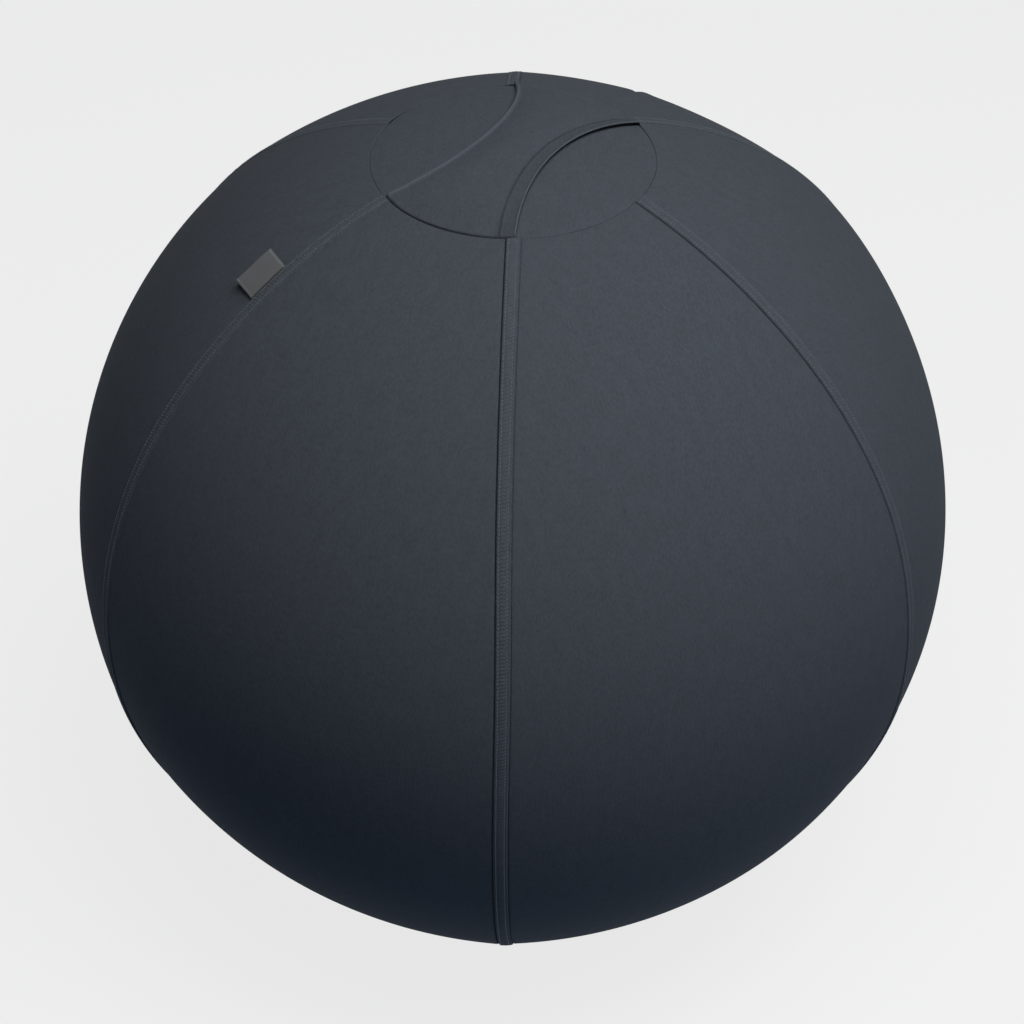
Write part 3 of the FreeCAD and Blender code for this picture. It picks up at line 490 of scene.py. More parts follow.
def rolled(start, width, count):
    """Places that start close together and widen, for an edge that rolls over."""
    return start + width * (1 - np.cos(np.linspace(0, math.pi / 2, count)))


# The cover's surface: each panel is a piece of a ball turned about an axis set back behind its middle.
def axis_distance(polar, turn, sizes):
    """Ball's axis to a panel, at a polar angle and an angle from the panel's middle."""
    flatness = sizes.panel_flatness
    reach = flatness + BALL_RADIUS * np.sin(polar)
    return np.sqrt(reach**2 - (flatness * np.sin(turn)) ** 2) - flatness * np.cos(turn)


def panel_turn(polar, column, seams, sizes):
    """Angle from the panel's middle. A column is its distance from each seam and its share between."""
    from_first, from_second, share = column
    seam_radius = axis_distance(polar, HALF_PANEL, sizes)
    first = -HALF_PANEL + np.arcsin((from_first + wander(polar, seams[0], sizes)) / seam_radius)
    second = HALF_PANEL - np.arcsin((from_second - wander(polar, seams[1], sizes)) / seam_radius)
    return first + (second - first) * share


# Where each front seam bows: its share of the largest bow, polar angle and reach
BOWS = {
    "front": ((0.2, 1.22, 0.25), (-0.25, 0.30, 0.35)),
    "right_front": ((0.45, 1.20, 0.22), (-1.0, 0.55, 0.40)),
    "left_front": ((1.0, 0.70, 0.28),),
}
# How deep and how high the back seams are, next to those in front
BACK_DEPTH = 0.3
BACK_HEIGHT = 0.4


def wander(polar, seam, sizes):
    """How far a seam lies to the side of its even line."""
    stray = sizes.seam_wander * np.sin(5.9 * polar + 2.9 * seam)
    for part, level, reach in BOWS.get(SEAMS[seam], ()):
        stray = stray + sizes.seam_bow * part * dip(polar - level, reach)
    return stray


def panel_point(polar, turn, middle, lift, sizes):
    """Places on a panel, lifted off it, and the directions that it faces there."""
    radius = axis_distance(polar, turn, sizes)
    ring = middle + turn
    lean = middle + np.arctan2(radius * np.sin(turn), sizes.panel_flatness + radius * np.cos(turn))
    height = BALL_CENTRE + BALL_RADIUS * np.cos(polar)
    place = np.stack([radius * np.sin(ring), -radius * np.cos(ring), height], axis=-1)
    facing = np.stack([np.sin(polar) * np.sin(lean), -np.sin(polar) * np.cos(lean), np.cos(polar)], axis=-1)
    return place + facing * lift[..., None], facing


def cut_polar(column, seams, slope, low, high, sizes):
    """Polar angle at which each column meets the cone through the ball's middle with that slope."""
    low = np.full(column[0].shape, low)
    high = np.full(column[0].shape, high)
    rising = slope > 0
    for _ in range(26):
        middle = (low + high) / 2
        radius = axis_distance(middle, panel_turn(middle, column, seams, sizes), sizes)
        outside = radius > slope * BALL_RADIUS * np.cos(middle)
        short = ~outside if rising else outside
        low = np.where(short, middle, low)
        high = np.where(short, high, middle)
    return low


def ditch_depth(seam, sizes):
    """Depth of the ditch along a seam."""
    if seam == SEAMS.index("front"):
        return sizes.seam_depth
    return sizes.side_depth * (1 if SEAMS[seam].endswith("front") else BACK_DEPTH)


def band_lift(distance, seam, sizes):
    """Height of the cloth across a seam band, from the ditch beside it."""
    depth = ditch_depth(seam, sizes)
    height = sizes.band_height * (1 if SEAMS[seam].endswith("front") else BACK_HEIGHT)
    lift = (depth + height) * roll((distance - sizes.seam_gap / 2) / sizes.edge_roll) - depth
    step = ease((distance - sizes.band_width + 0.0003) / 0.0009)
    lift = lift - height * step
    lift = lift + sizes.band_crown * dip(distance - sizes.band_width / 2, 0.0022)
    for row in stitch_rows(sizes):
        lift = lift - sizes.stitch_groove * dip(distance - row, 0.0006)
    share = depth / sizes.seam_depth
    return lift - share * sizes.edge_groove * dip(distance - sizes.band_width - 0.0003, 0.00045)


def rim_tuck(inset, ring, sizes):
    """Height of the cloth beside the rim's seam, deeper where the handle is sewn in."""
    covered = 0
    handle_ends = (sizes.left_front - 2 * math.pi, sizes.right_front), (sizes.right_back, sizes.left_back)
    for first, last in handle_ends:
        for turn in (0, 2 * math.pi):
            covered = covered + ease((ring + turn - first) / 0.05) * ease((last - ring - turn) / 0.05)
    depth = sizes.rim_depth + sizes.rim_extra * covered + sizes.rim_depth * dip(ring - 0.03, 0.05)
    return depth * (roll(inset / (sizes.rim_roll * (1 + 0.4 * covered))) - 1)


def plain_lift(distance, seam, sizes):
    """Height of the cloth beside the other seam, where it tucks under the band."""
    return ditch_depth(seam, sizes) * (roll((distance - sizes.seam_gap / 2) / sizes.edge_roll) - 1)


def stitch_rows(sizes):
    """Distances of a seam band's two rows of stitches from its ditch."""
    return (sizes.stitch_inset, sizes.band_width - sizes.stitch_inset)


def panel_columns(sizes):
    """Distances from the two seams, and shares, of the lines of cloth down a panel."""
    first_row, second_row = stitch_rows(sizes)
    edge = sizes.seam_gap / 2
    first = np.concatenate([
        rolled(edge, sizes.edge_roll, 7),
        near(first_row + 0.0002, 0.0006, 5),
        near(sizes.band_width / 2, 0.0012, 3),
        near(second_row - 0.0002, 0.0006, 5),
        near(sizes.band_width + 0.0003, 0.0010, 9),
        np.array([0.0130, 0.0165]),
    ])
    second = np.concatenate([rolled(edge, sizes.edge_roll, 7), np.array([0.003, 0.005, 0.009])])[::-1]
    shares = np.linspace(0, 1, PANEL_SHARES)[1:-1]
    count = len(first), len(shares), len(second)
    from_first = np.concatenate([first, np.full(count[1] + count[2], first[-1])])
    from_second = np.concatenate([np.full(count[0] + count[1], second[0]), second])
    share = np.concatenate([np.zeros(count[0]), shares, np.ones(count[2])])
    return from_first, from_second, share


def cover_cuts(column, seams, sizes):
    """Polar angles of the rim and of the zip for each column."""
    rim_polar = math.asin(sizes.rim_radius / BALL_RADIUS)
    top = cut_polar(column, seams, math.tan(rim_polar), 0.05, 1.2, sizes)
    bottom = cut_polar(column, seams, -math.tan(sizes.ring_angle), 1.6, 3.1, sizes)
    return top, bottom


def panel_cloth(index, sizes):
    """Places and map of one cover panel."""
    seams = (index, (index + 1) % len(PANELS))
    middle = (index + 0.5) * PANEL_TURN
    column = panel_columns(sizes)
    top, bottom = cover_cuts(column, seams, sizes)
    span = BALL_RADIUS * (bottom[0] - top[0])
    edge = rolled(0, sizes.edge_roll, 8)
    rows = np.concatenate([edge, np.linspace(0.0035, span - 0.0035, PANEL_ROWS), span - edge[::-1]]) / span
    polar = top + (bottom - top) * rows[:, None]
    turn = panel_turn(polar, column, seams, sizes)
    across = HALF_PANEL + turn
    seam_radius = axis_distance(polar, HALF_PANEL, sizes)
    first = seam_radius * np.sin(across) - wander(polar, seams[0], sizes)
    second = seam_radius * np.sin(PANEL_TURN - across) + wander(polar, seams[1], sizes)
    on_first = column[2] == 0
    on_second = column[2] == 1
    first_lift = band_lift(np.where(on_first, column[0], 1.0), seams[0], sizes)
    second_lift = plain_lift(np.where(on_second, column[1], 1.0), seams[1], sizes)
    along = BALL_RADIUS * polar
    ripple = np.sin(along / 0.0019 + 3 * np.sin(along / 0.031 + seams[0]))
    gather = sizes.pucker * ripple * (0.6 + 0.4 * np.sin(along / 0.043 + 2 * seams[0]))
    puckers = gather * (dip(first - sizes.band_width / 2, 0.009) + 0.7 * dip(second, 0.006))
    ring = (middle + turn + math.pi) % (2 * math.pi) - math.pi
    tuck = rim_tuck(rows[:, None] * span, ring, sizes)
    tuck = tuck + sizes.seam_depth * (roll((1 - rows[:, None]) * span / sizes.edge_roll) - 1)
    lift = np.maximum(first_lift + second_lift + puckers + tuck, -sizes.seam_depth)
    lift = lift + fullness(polar, ring)
    places, _ = panel_point(polar, turn, middle, lift, sizes)
    radius = axis_distance(polar, turn, sizes)
    cloth_map = np.stack([radius * turn + 0.4 * index, along], axis=-1)
    band = on_first * (column[0] < sizes.band_width) * np.ones_like(polar)
    return places, cloth_map, band


# Where the filled cover stands fuller or slacker: ring and polar angle, their reach, and the height.
FULLNESS = (
    (2.15, 1.00, 0.30, 0.30, 0.0040),
    (2.72, 0.74, 0.22, 0.12, 0.0030),
    (1.57, 1.57, 0.40, 0.35, -0.0005),
    (1.17, 2.00, 0.25, 0.25, -0.0030),
)


def fullness(polar, ring):
    """How far the cover strays from its even shape."""
    return rim_fold(polar, ring) + sum(
        height * dip(np.sin((ring - turn) / 2) * 2, width) * dip(polar - level, reach)
        for turn, level, width, reach, height in FULLNESS
    )


def rim_fold(polar, ring):
    """A slack fold that runs from the handle's back end down the panel behind."""
    line = 2.53 + 0.5 * (polar - 0.33)
    across = BALL_RADIUS * np.sin(polar) * (ring - line)
    window = ease((polar - 0.36) / 0.12) * ease((0.80 - polar) / 0.20)
    ridge = 0.0008 * dip(across + 0.006, 0.005)
    hollow = 0.0016 * dip(across - 0.001, 0.0025)
    return window * (ridge - hollow)


class CHAIR_OT_cover_panels(bpy.types.Operator):
    """Sews the six panels of the cover, each with its folded seam band"""

    bl_idname = "chair.cover_panels"
    bl_label = "Cover panels"

    def execute(self, context):
        sizes = context.scene.chair_sizes
        colours = context.scene.chair_colours
        finish = knit_finish("cover_knit", colours.cover, colours.thread, sizes.stitch_pitch)
        for index, name in enumerate(PANELS):
            places, cloth_map, band = panel_cloth(index, sizes)
            piece = lay_cloth(f"panel_{name}", places, cloth_map, finish)
            mark = piece.data.attributes.new("band", "FLOAT", "POINT")
            mark.data.foreach_set("value", band.ravel())
            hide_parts(f"cover_panel_{name}")
            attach(piece, "root")
        return {"FINISHED"}


class CHAIR_OT_topstitching(bpy.types.Operator):
    """Sews two rows of stitches down each seam band"""

    bl_idname = "chair.topstitching"
    bl_label = "Topstitching"

    def execute(self, context):
        sizes = context.scene.chair_sizes
        finish = thread_finish(context.scene.chair_colours.thread)
        for index, name in enumerate(SEAMS):
            seams = (index, (index + 1) % len(PANELS))
            middle = (index + 0.5) * PANEL_TURN
            stitches = []
            for row in stitch_rows(sizes):
                column = (np.array([row]), np.array([row]), np.array([0.0]))
                top, bottom = cover_cuts(column, seams, sizes)
                step = sizes.stitch_pitch / BALL_RADIUS
                polar = np.arange(top[0] + step, bottom[0] - step, step)
                turn = panel_turn(polar, column, seams, sizes)
                lift = band_lift(np.full(polar.shape, row), index, sizes) + sizes.thread_width * 0.2
                lift = lift + fullness(polar, middle + turn)
                places, facing = panel_point(polar, turn, middle, lift, sizes)
                ahead = np.gradient(places, axis=0)
                stitches.append((places, facing, ahead))
            piece = lay_stitches(f"topstitch_{name}", stitches, sizes, finish)
            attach(piece, "root")
        return {"FINISHED"}


def lay_stitches(name, rows, sizes, finish):
    """One mesh of stitches from rows of places, facings and directions."""
    bpy.ops.object.select_all(action="DESELECT")
    bpy.ops.mesh.primitive_uv_sphere_add(segments=6, ring_count=4, radius=0.5)
    pattern = bpy.context.object
    bpy.ops.object.mode_set(mode="EDIT")
    bpy.ops.mesh.select_all(action="SELECT")
    bpy.ops.transform.rotate(value=math.pi / 2, orient_axis="Y", center_override=(0, 0, 0))
    bpy.ops.object.mode_set(mode="OBJECT")
    shape = np.array([vertex.co for vertex in pattern.data.vertices])
    shape = shape * (sizes.stitch_pitch * 0.72, sizes.thread_width, sizes.thread_width * 0.8)
    faces = [tuple(face.vertices) for face in pattern.data.polygons]
    bpy.data.objects.remove(pattern)
    corners = []
    for places, facing, ahead in rows:
        ahead = ahead / np.linalg.norm(ahead, axis=1)[:, None]
        side = np.cross(facing, ahead)
        side = side / np.linalg.norm(side, axis=1)[:, None]
        axes = np.stack([ahead, side, np.cross(ahead, side)], axis=1)
        corners.append((places[:, None, :] + np.einsum("vk,nkj->nvj", shape, axes)).reshape(-1, 3))
    corners = np.concatenate(corners)
    count = len(corners) // len(shape)
    every = [tuple(n * len(shape) + v for v in face) for n in range(count) for face in faces]
    mesh = bpy.data.meshes.new(name)
    mesh.from_pydata(corners.tolist(), [], every)
    mesh.materials.append(finish)
    mesh.shade_smooth()
    piece = bpy.data.objects.new(name, mesh)
    bpy.context.scene.collection.objects.link(piece)
    return piece


class CHAIR_OT_top_disc(bpy.types.Operator):
    """Sews the round top of the cover into the seam at its rim"""

    bl_idname = "chair.top_disc"
    bl_label = "Top disc"

    def execute(self, context):
        sizes = context.scene.chair_sizes
        finish = bpy.data.materials["cover_knit"]
        edge = sizes.rim_radius - sizes.seam_gap / 2
        rings = np.concatenate([
            np.linspace(0, edge - 0.004, DISC_RINGS),
            (edge - rolled(0, 2 * sizes.rim_roll, 8))[::-1],
        ])[:, None]
        ring = np.linspace(-math.pi, math.pi, DISC_TURNS)[None, :]
        rise = np.sqrt(BALL_RADIUS**2 - rings**2)
        drop = rim_tuck(edge - rings, ring, sizes)
        reach = rings + 0 * ring
        height = BALL_CENTRE + rise + drop + 0 * ring
        places = np.stack([reach * np.sin(ring), -reach * np.cos(ring), height], axis=-1)
        piece = lay_cloth("disc_top", places, places[..., :2] + 0.2, finish, weld=True)
        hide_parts("top_disc")
        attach(piece, "root")
        return {"FINISHED"}


# Handle
def handle_dome(reach, sizes):
    """Height of the handle's inner face over a ring of that radius."""
    crown = LINING_CROWN - sizes.lining_wall
    sag = crown - STRAP_FOOT
    radius = (sizes.strap_rim**2 + sag**2) / (2 * sag)
    return crown - radius + np.sqrt(radius**2 - np.minimum(reach, sizes.strap_rim) ** 2)


def disc_height(reach):
    """Height of the top disc at a distance from the ball's axis."""
    return BALL_CENTRE + np.sqrt(BALL_RADIUS**2 - reach**2)


def bowed_edge(first, last, waist, share, sizes):
    """Places and inward directions along a handle edge that bows in to its waist."""
    half = (last - first) / 2
    middle = (first + last) / 2
    bow = sizes.strap_rim * math.cos(half) - waist
    reach = sizes.strap_rim * math.sin(half)
    radius = (reach**2 + bow**2) / (2 * bow)
    centre = waist + radius
    opening = math.asin(reach / radius)
    swing = opening * (1 - 2 * share)
    out = np.array([math.sin(middle), -math.cos(middle)])
    side = np.array([math.cos(middle), math.sin(middle)])
    inward = -np.cos(swing)[:, None] * out - np.sin(swing)[:, None] * side
    return centre * out + radius * inward, inward


def edge_loop(radius, drop, count):
    """Distance in and height of cloth that comes from below round an edge and over it."""
    round_angle = np.linspace(-math.pi / 2, math.pi / 2, count)
    return radius * (1 - np.cos(round_angle)), radius * np.sin(round_angle) - radius + drop


def strap_section(sizes):
    """Columns across the handle: distances in from the edges, shares between them and heights."""
    left_in, left_up = edge_loop(sizes.piping, 0.0009, 10)
    right_in, right_up = edge_loop(sizes.hem_fold, 0.0004, 8)
    left_more = np.array([0.0024, 0.0032, 0.0040, 0.0052, 0.0075])
    left_rise = 0.0009 * dip(left_more - sizes.piping, 0.0012) - 0.00035 * dip(left_more - 0.0042, 0.0012)
    hem_line = near(sizes.hem_width, 0.0010, 8)
    hem = np.concatenate([[0.0016, 0.0028, 0.0042, 0.0058, 0.0072], hem_line, [0.0115, 0.0135]])
    hem_rise = -sizes.hem_valley * dip(hem - 0.45 * sizes.hem_width, 0.28 * sizes.hem_width)
    hem_rise = hem_rise - 0.0006 * dip(hem - sizes.hem_width, 0.00045)
    return (
        (np.concatenate([left_in, left_more]), np.concatenate([left_up, left_rise])),
        (np.concatenate([right_in, hem])[::-1], np.concatenate([right_up, hem_rise])[::-1]),
    )


def handle_grid(start, end, rows, sizes, left_in, right_in, between):
    """Places in plan over a stretch of the handle, pushed out so that its ends follow the rim."""
    share = handle_rows(start, end, rows)
    plan = handle_plan(share, left_in, right_in, between, sizes)
    ends = handle_plan(np.array([0.0, 1.0]), left_in, right_in, between, sizes)
    stretch = sizes.strap_rim / np.linalg.norm(ends, axis=2)[..., None]
    push = ends * (stretch - 1)
    weight = share[:, None, None]
    return plan + push[0] * (1 - weight) ** 3 + push[1] * weight**3


def handle_rows(start, end, rows):
    """Shares of the handle's length, close together where it dives into the rim."""
    share = np.linspace(start, end, rows)
    for rim in (0.0, 1.0):
        if rim in (start, end):
            share = np.concatenate([share, np.abs(rim - np.array([0.001, 0.002, 0.004, 0.007, 0.011]))])
    share = np.sort(share)
    return share[::-1] if start > end else share


def handle_plan(share, left_in, right_in, between, sizes):
    """Places in plan between the handle's two bowed edges, at shares of its length."""
    left, left_inward = bowed_edge(sizes.left_front, sizes.left_back, sizes.left_waist, share, sizes)
    right, right_inward = bowed_edge(sizes.right_front, sizes.right_back, sizes.right_waist, share, sizes)
    first = left[:, None] + left_inward[:, None] * left_in[None, :, None]
    last = right[:, None] + right_inward[:, None] * hem_spread(right_in, share, sizes)[..., None]
    middle = first[:, -1:] + (last[:, :1] - first[:, -1:]) * between[None, :, None]
    return np.concatenate([first, middle, last], axis=1)


def hem_spread(inset, share, sizes):
    """Distances in from the right edge: the hem is wide at the front and narrow at the back."""
    spread = 1.3 - 0.7 * share[:, None]
    past_fold = ease((inset - sizes.hem_fold) / 0.003)
    return inset * (1 + (spread - 1) * past_fold)


HALVES = {"front": (0.5, 0.0), "back": (1.0, 0.5)}
HANDLE_AXIS = Vector((0.476, 0.879, 0)).normalized()


def lift_with_handle(piece, half, sizes):
    """Bakes the piece's place into its mesh; the way along the handle and the lifted level are worked out
    but not used.
    """
    way = HANDLE_AXIS if half == "back" else -HANDLE_AXIS
    level = Vector((0, 0, CROWN))
    level + way * sizes.strap_rim * 0.85
    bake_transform(piece)


class CHAIR_OT_handle(bpy.types.Operator):
    """Makes the handle's outer fabric, lining and webbing, in two halves that meet in the middle"""

    bl_idname = "chair.handle"
    bl_label = "Handle"

    def execute(self, context):
        sizes = context.scene.chair_sizes
        colours = context.scene.chair_colours
        knit = knit_finish("handle_knit", colours.cover, colours.thread, sizes.stitch_pitch)
        lining = woven_finish("handle_lining_cloth", colours.lining, pitch=0.0007, relief=0.0001)
        webbing = woven_finish("core_webbing", colours.webbing, pitch=0.0016, relief=0.0003)
        for half, (start, end) in HALVES.items():
            strap = self.strap(half, start, end, knit, sizes)
            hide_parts("handle_strap")
            inner = self.lining(half, start, end, lining, sizes)
            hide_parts("handle_lining")
            core = self.core(half, webbing, sizes)
            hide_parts("handle_core")
            for piece in (strap, inner, core):
                lift_with_handle(piece, half, sizes)
        return {"FINISHED"}

    def strap(self, half, start, end, finish, sizes):
        (left_in, left_up), (right_in, right_up) = strap_section(sizes)
        between = np.linspace(0, 1, STRAP_SHARES)[1:-1]
        plan = handle_grid(start, end, STRAP_ROWS, sizes, left_in, right_in, between)
        reach = np.linalg.norm(plan, axis=2)
        taper = ease((sizes.strap_rim - reach) / sizes.strap_taper)
        tucked = roll((sizes.strap_rim - reach) / sizes.strap_tuck)
        loft = sizes.strap_end * (2 * tucked - 1) + (sizes.strap_loft - sizes.strap_end) * taper
        edge = np.concatenate([left_up, 0 * between, right_up])
        base = handle_dome(reach, sizes) + loft
        height = base + (edge + self.settle(base, plan, sizes)) * tucked
        places = np.concatenate([plan, height[..., None]], axis=-1)
        piece = lay_cloth(f"strap_{half}", places, plan + 0.5, finish)
        # The "edge" mark holds painted light: highlights along the handle's edges and shade under its fold
        # and hem
        mark = piece.data.attributes.new("edge", "FLOAT", "POINT")
        tone = self.painted_edge_light(left_in, left_up, right_in, right_up, between, sizes)
        mark.data.foreach_set("value", (tone + 0 * reach).ravel())
        return piece

    def painted_edge_light(self, left_in, left_up, right_in, right_up, between, sizes):
        """Painted highlight on the piping and the lip, painted shade under the fold, hem line and hem band.
        """
        piping = dip(left_in - 0.0019, 0.0008) * (left_up > -0.0005)
        under = (right_up < -0.00025) & (right_in < sizes.hem_fold + 0.0001)
        lip = dip(right_in - 0.0008, 0.0005) * (right_up > -0.0002)
        hem_line = 0.34 * dip(right_in - sizes.hem_width, 0.0008)
        hem_band = 0.16 * dip(right_in - 0.62 * sizes.hem_width, 0.3 * sizes.hem_width)
        return np.concatenate([piping, 0 * between, lip - 1.0 * under - hem_line - hem_band])

    def settle(self, base, plan, sizes):
        """How far the cloth comes down to the disc along its two edges."""
        disc = disc_height(np.linalg.norm(plan, axis=2))
        from_left = np.linalg.norm(plan - plan[:, :1], axis=2)
        from_right = np.linalg.norm(plan - plan[:, -1:], axis=2)
        left = (disc + sizes.left_stand - base) * dip(from_left, 0.012)
        right = (disc + sizes.right_stand - base) * dip(from_right, 0.010)
        return left + right

    def lining(self, half, start, end, finish, sizes):
        between = np.linspace(0, 1, LINING_SHARES)[1:-1]
        insets = np.array([sizes.piping]), np.array([sizes.lining_setback])
        plan = handle_grid(start, end, LINING_ROWS, sizes, *insets, between)
        reach = np.linalg.norm(plan, axis=2)
        base = handle_dome(reach, sizes) + sizes.lining_wall / 2
        disc = disc_height(reach)
        near_left = dip(np.linalg.norm(plan - plan[:, :1], axis=2), 0.016)
        near_right = dip(np.linalg.norm(plan - plan[:, -1:], axis=2), 0.012)
        near_edge = np.maximum(near_left, near_right)
        height = base + (disc + sizes.lining_wall - base) * near_edge
        places = np.concatenate([plan, height[..., None]], axis=-1)[:, ::-1]
        return lay_cloth(f"lining_{half}", places, places[..., :2] + 0.5, finish)

    def core(self, half, finish, sizes):
        way = 1 if half == "back" else -1
        across = near(0, sizes.core_width / 2, 17)[None, :] * np.ones((30, 1))
        along = way * np.linspace(1, 0, 30)[:, None] * sizes.core_length / 2 + 0 * across
        if half == "front":
            across = -across
        middle = (sizes.right_waist - sizes.left_waist) / 2
        axis = np.array(HANDLE_AXIS)[:2]
        side = np.array([axis[1], -axis[0]])
        plan = along[..., None] * axis + (across + middle)[..., None] * side
        reach = np.linalg.norm(plan, axis=2)
        height = handle_dome(reach, sizes) + sizes.lining_wall + 0.0003
        places = np.concatenate([plan, height[..., None]], axis=-1)
        return lay_cloth(f"core_{half}", places, np.stack([across, along], axis=-1), finish)


class CHAIR_OT_label(bpy.types.Operator):
    """Folds the bare label and sews it into the left front seam"""

    bl_idname = "chair.label"
    bl_label = "Label"

    def execute(self, context):
        sizes = context.scene.chair_sizes
        colours = context.scene.chair_colours
        finish = ribbon_finish(colours.ribbon, colours.ribbon_border, sizes)
        seam = -PANEL_TURN
        polar = math.asin(sizes.rim_radius / BALL_RADIUS) + sizes.label_drop / BALL_RADIUS
        fold = sizes.label_fold
        out = sizes.label_width - fold
        turn = np.linspace(-math.pi / 2, math.pi / 2, 9)
        lower = np.linspace(-0.001, out, 12)[:-1]
        across = np.concatenate([lower, out + fold * np.cos(turn), lower[::-1]])
        deep = np.concatenate([0 * lower, fold + fold * np.sin(turn), 0 * lower + 2 * fold])
        run = np.cumsum(np.concatenate([[0], np.hypot(np.diff(across), np.diff(deep))]))
        along = np.linspace(0, sizes.label_length, 24)[:, None]
        curl = sizes.label_curl * ease(across / sizes.label_width) * (1 + 0.5 * along / sizes.label_length)
        wave = 0.0002 * np.sin(along / 0.0045) * ease(across / sizes.label_width)
        lift = fold + deep + curl + wave
        here = polar + along / BALL_RADIUS
        radius = axis_distance(here, HALF_PANEL, sizes)
        across = across - wander(here, SEAMS.index("left_front"), sizes) - 0.0005
        level = BALL_CENTRE + BALL_RADIUS * np.cos(here)
        out_way = np.array([math.sin(seam), -math.cos(seam), 0])
        side_way = np.array([-math.cos(seam), -math.sin(seam), 0])
        facing = np.sin(here)[..., None] * out_way + np.cos(here)[..., None] * np.array([0, 0, 1.0])
        drop = -0.5 * across**2 / BALL_RADIUS
        root = radius[..., None] * out_way + level[..., None] * np.array([0, 0, 1.0])
        places = root + across[..., None] * side_way + facing * (lift + drop)[..., None]
        cloth_map = np.stack([run + 0 * along, along + 0 * run], axis=-1)
        piece = lay_cloth("label", places[:, ::-1], cloth_map[:, ::-1], finish)
        thicken(piece, sizes.ribbon_wall)
        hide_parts("label_tag")
        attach(piece, "root")
        return {"FINISHED"}


def apply_modifier(piece, kind, **settings):
    """Adds a modifier, sets it and applies it."""
    bpy.ops.object.select_all(action="DESELECT")
    bpy.context.view_layer.objects.active = piece
    piece.select_set(True)
    modifier = piece.modifiers.new(kind.lower(), kind)
    for name, value in settings.items():
        setattr(modifier, name, value)
    bpy.ops.object.modifier_apply(modifier=modifier.name)


def thicken(piece, wall):
    apply_modifier(piece, "SOLIDIFY", thickness=wall, offset=0.0)


# Base
def slope_place(down, depth, sizes):
    """A point down the base's slope from the panels' edge: its distance from the axis and its height."""
    sine, cosine = math.sin(sizes.ring_angle), math.cos(sizes.ring_angle)
    reach = BALL_RADIUS * sine - down * cosine - depth * sine
    level = BALL_CENTRE - BALL_RADIUS * cosine - down * sine + depth * cosine
    return reach, level


def turned_cloth(name, section, first, last, count, finish, weld=False):
    """Cloth with a section of radius and height, turned from one ring angle to another."""
    section = np.array(section)
    ring = np.linspace(first, last, count)
    reach = section[:, :1] + 0 * ring
    level = section[:, 1:] + 0 * ring
    places = np.stack([reach * np.sin(ring), -reach * np.cos(ring), level], axis=-1)
    run = np.concatenate([[0], np.cumsum(np.linalg.norm(np.diff(section, axis=0), axis=1))])
    cloth_map = np.stack([ring * section[:, 0].max() + 0 * run[:, None], run[:, None] + 0 * ring], axis=-1)
    return lay_cloth(name, places, cloth_map, finish, weld=weld)


def base_rise(sizes):
    """Height of the panels' lower edge over the sole."""
    return BALL_CENTRE - BALL_RADIUS * math.cos(sizes.ring_angle) - SOLE_TOP


def zip_sweep():
    """Half of the ring angle that the zip's tapes run round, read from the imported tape."""
    end = max((vertex.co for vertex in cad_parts["zip_tape_cover"].data.vertices), key=lambda co: co.y)
    return math.atan2(abs(end.x), -end.y)


class CHAIR_OT_base(bpy.types.Operator):
    """Makes the woven base of the cover, its tongue between the zip's ends and the cloth behind them"""

    bl_idname = "chair.base"
    bl_label = "Base"

    def execute(self, context):
        sizes = context.scene.chair_sizes
        finish = woven_finish("base_canvas", context.scene.chair_colours.base, pitch=0.0012, relief=0.0002)
        top = 2 * sizes.tape_width + 2 * sizes.zip_half
        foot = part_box("base_panel")[0]
        corner = BALL_RADIUS * math.sin(sizes.ring_angle) - base_rise(sizes) / math.tan(sizes.ring_angle)
        slope_length = base_rise(sizes) / math.sin(sizes.ring_angle) - top
        slope = [slope_place(top + part * slope_length, 0.0, sizes) for part in np.linspace(0.0, 1.0, 24)]
        tucked = slope_place(top + sizes.seam_depth, sizes.seam_depth, sizes)
        hem = [tucked, slope_place(top, 0.0012, sizes)]
        flat = [(reach, foot.z) for reach in np.linspace(corner, 0.0, 20)]
        section = hem + slope + flat[1:]
        piece = turned_cloth("base_cloth", section, 0.0, 2 * math.pi, 181, finish, weld=True)
        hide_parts("base_panel")
        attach(piece, "root")
        half = zip_sweep()
        tongue = [slope_place(step, 0.0, sizes) for step in np.linspace(0.0002, top + 0.003, 14)]
        patch = turned_cloth("base_tongue", tongue, half, 2 * math.pi - half, 30, finish)
        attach(patch, "root")
        upper = sizes.tape_width - sizes.shield_lap
        lower = sizes.tape_width + 2 * sizes.zip_half + sizes.shield_lap
        shield = [slope_place(step, sizes.shield_depth, sizes) for step in np.linspace(upper, lower, 8)]
        start = half - 0.06
        guard = turned_cloth("zip_shield", shield, start, 2 * math.pi - start, 40, finish)
        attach(guard, "root")
        return {"FINISHED"}


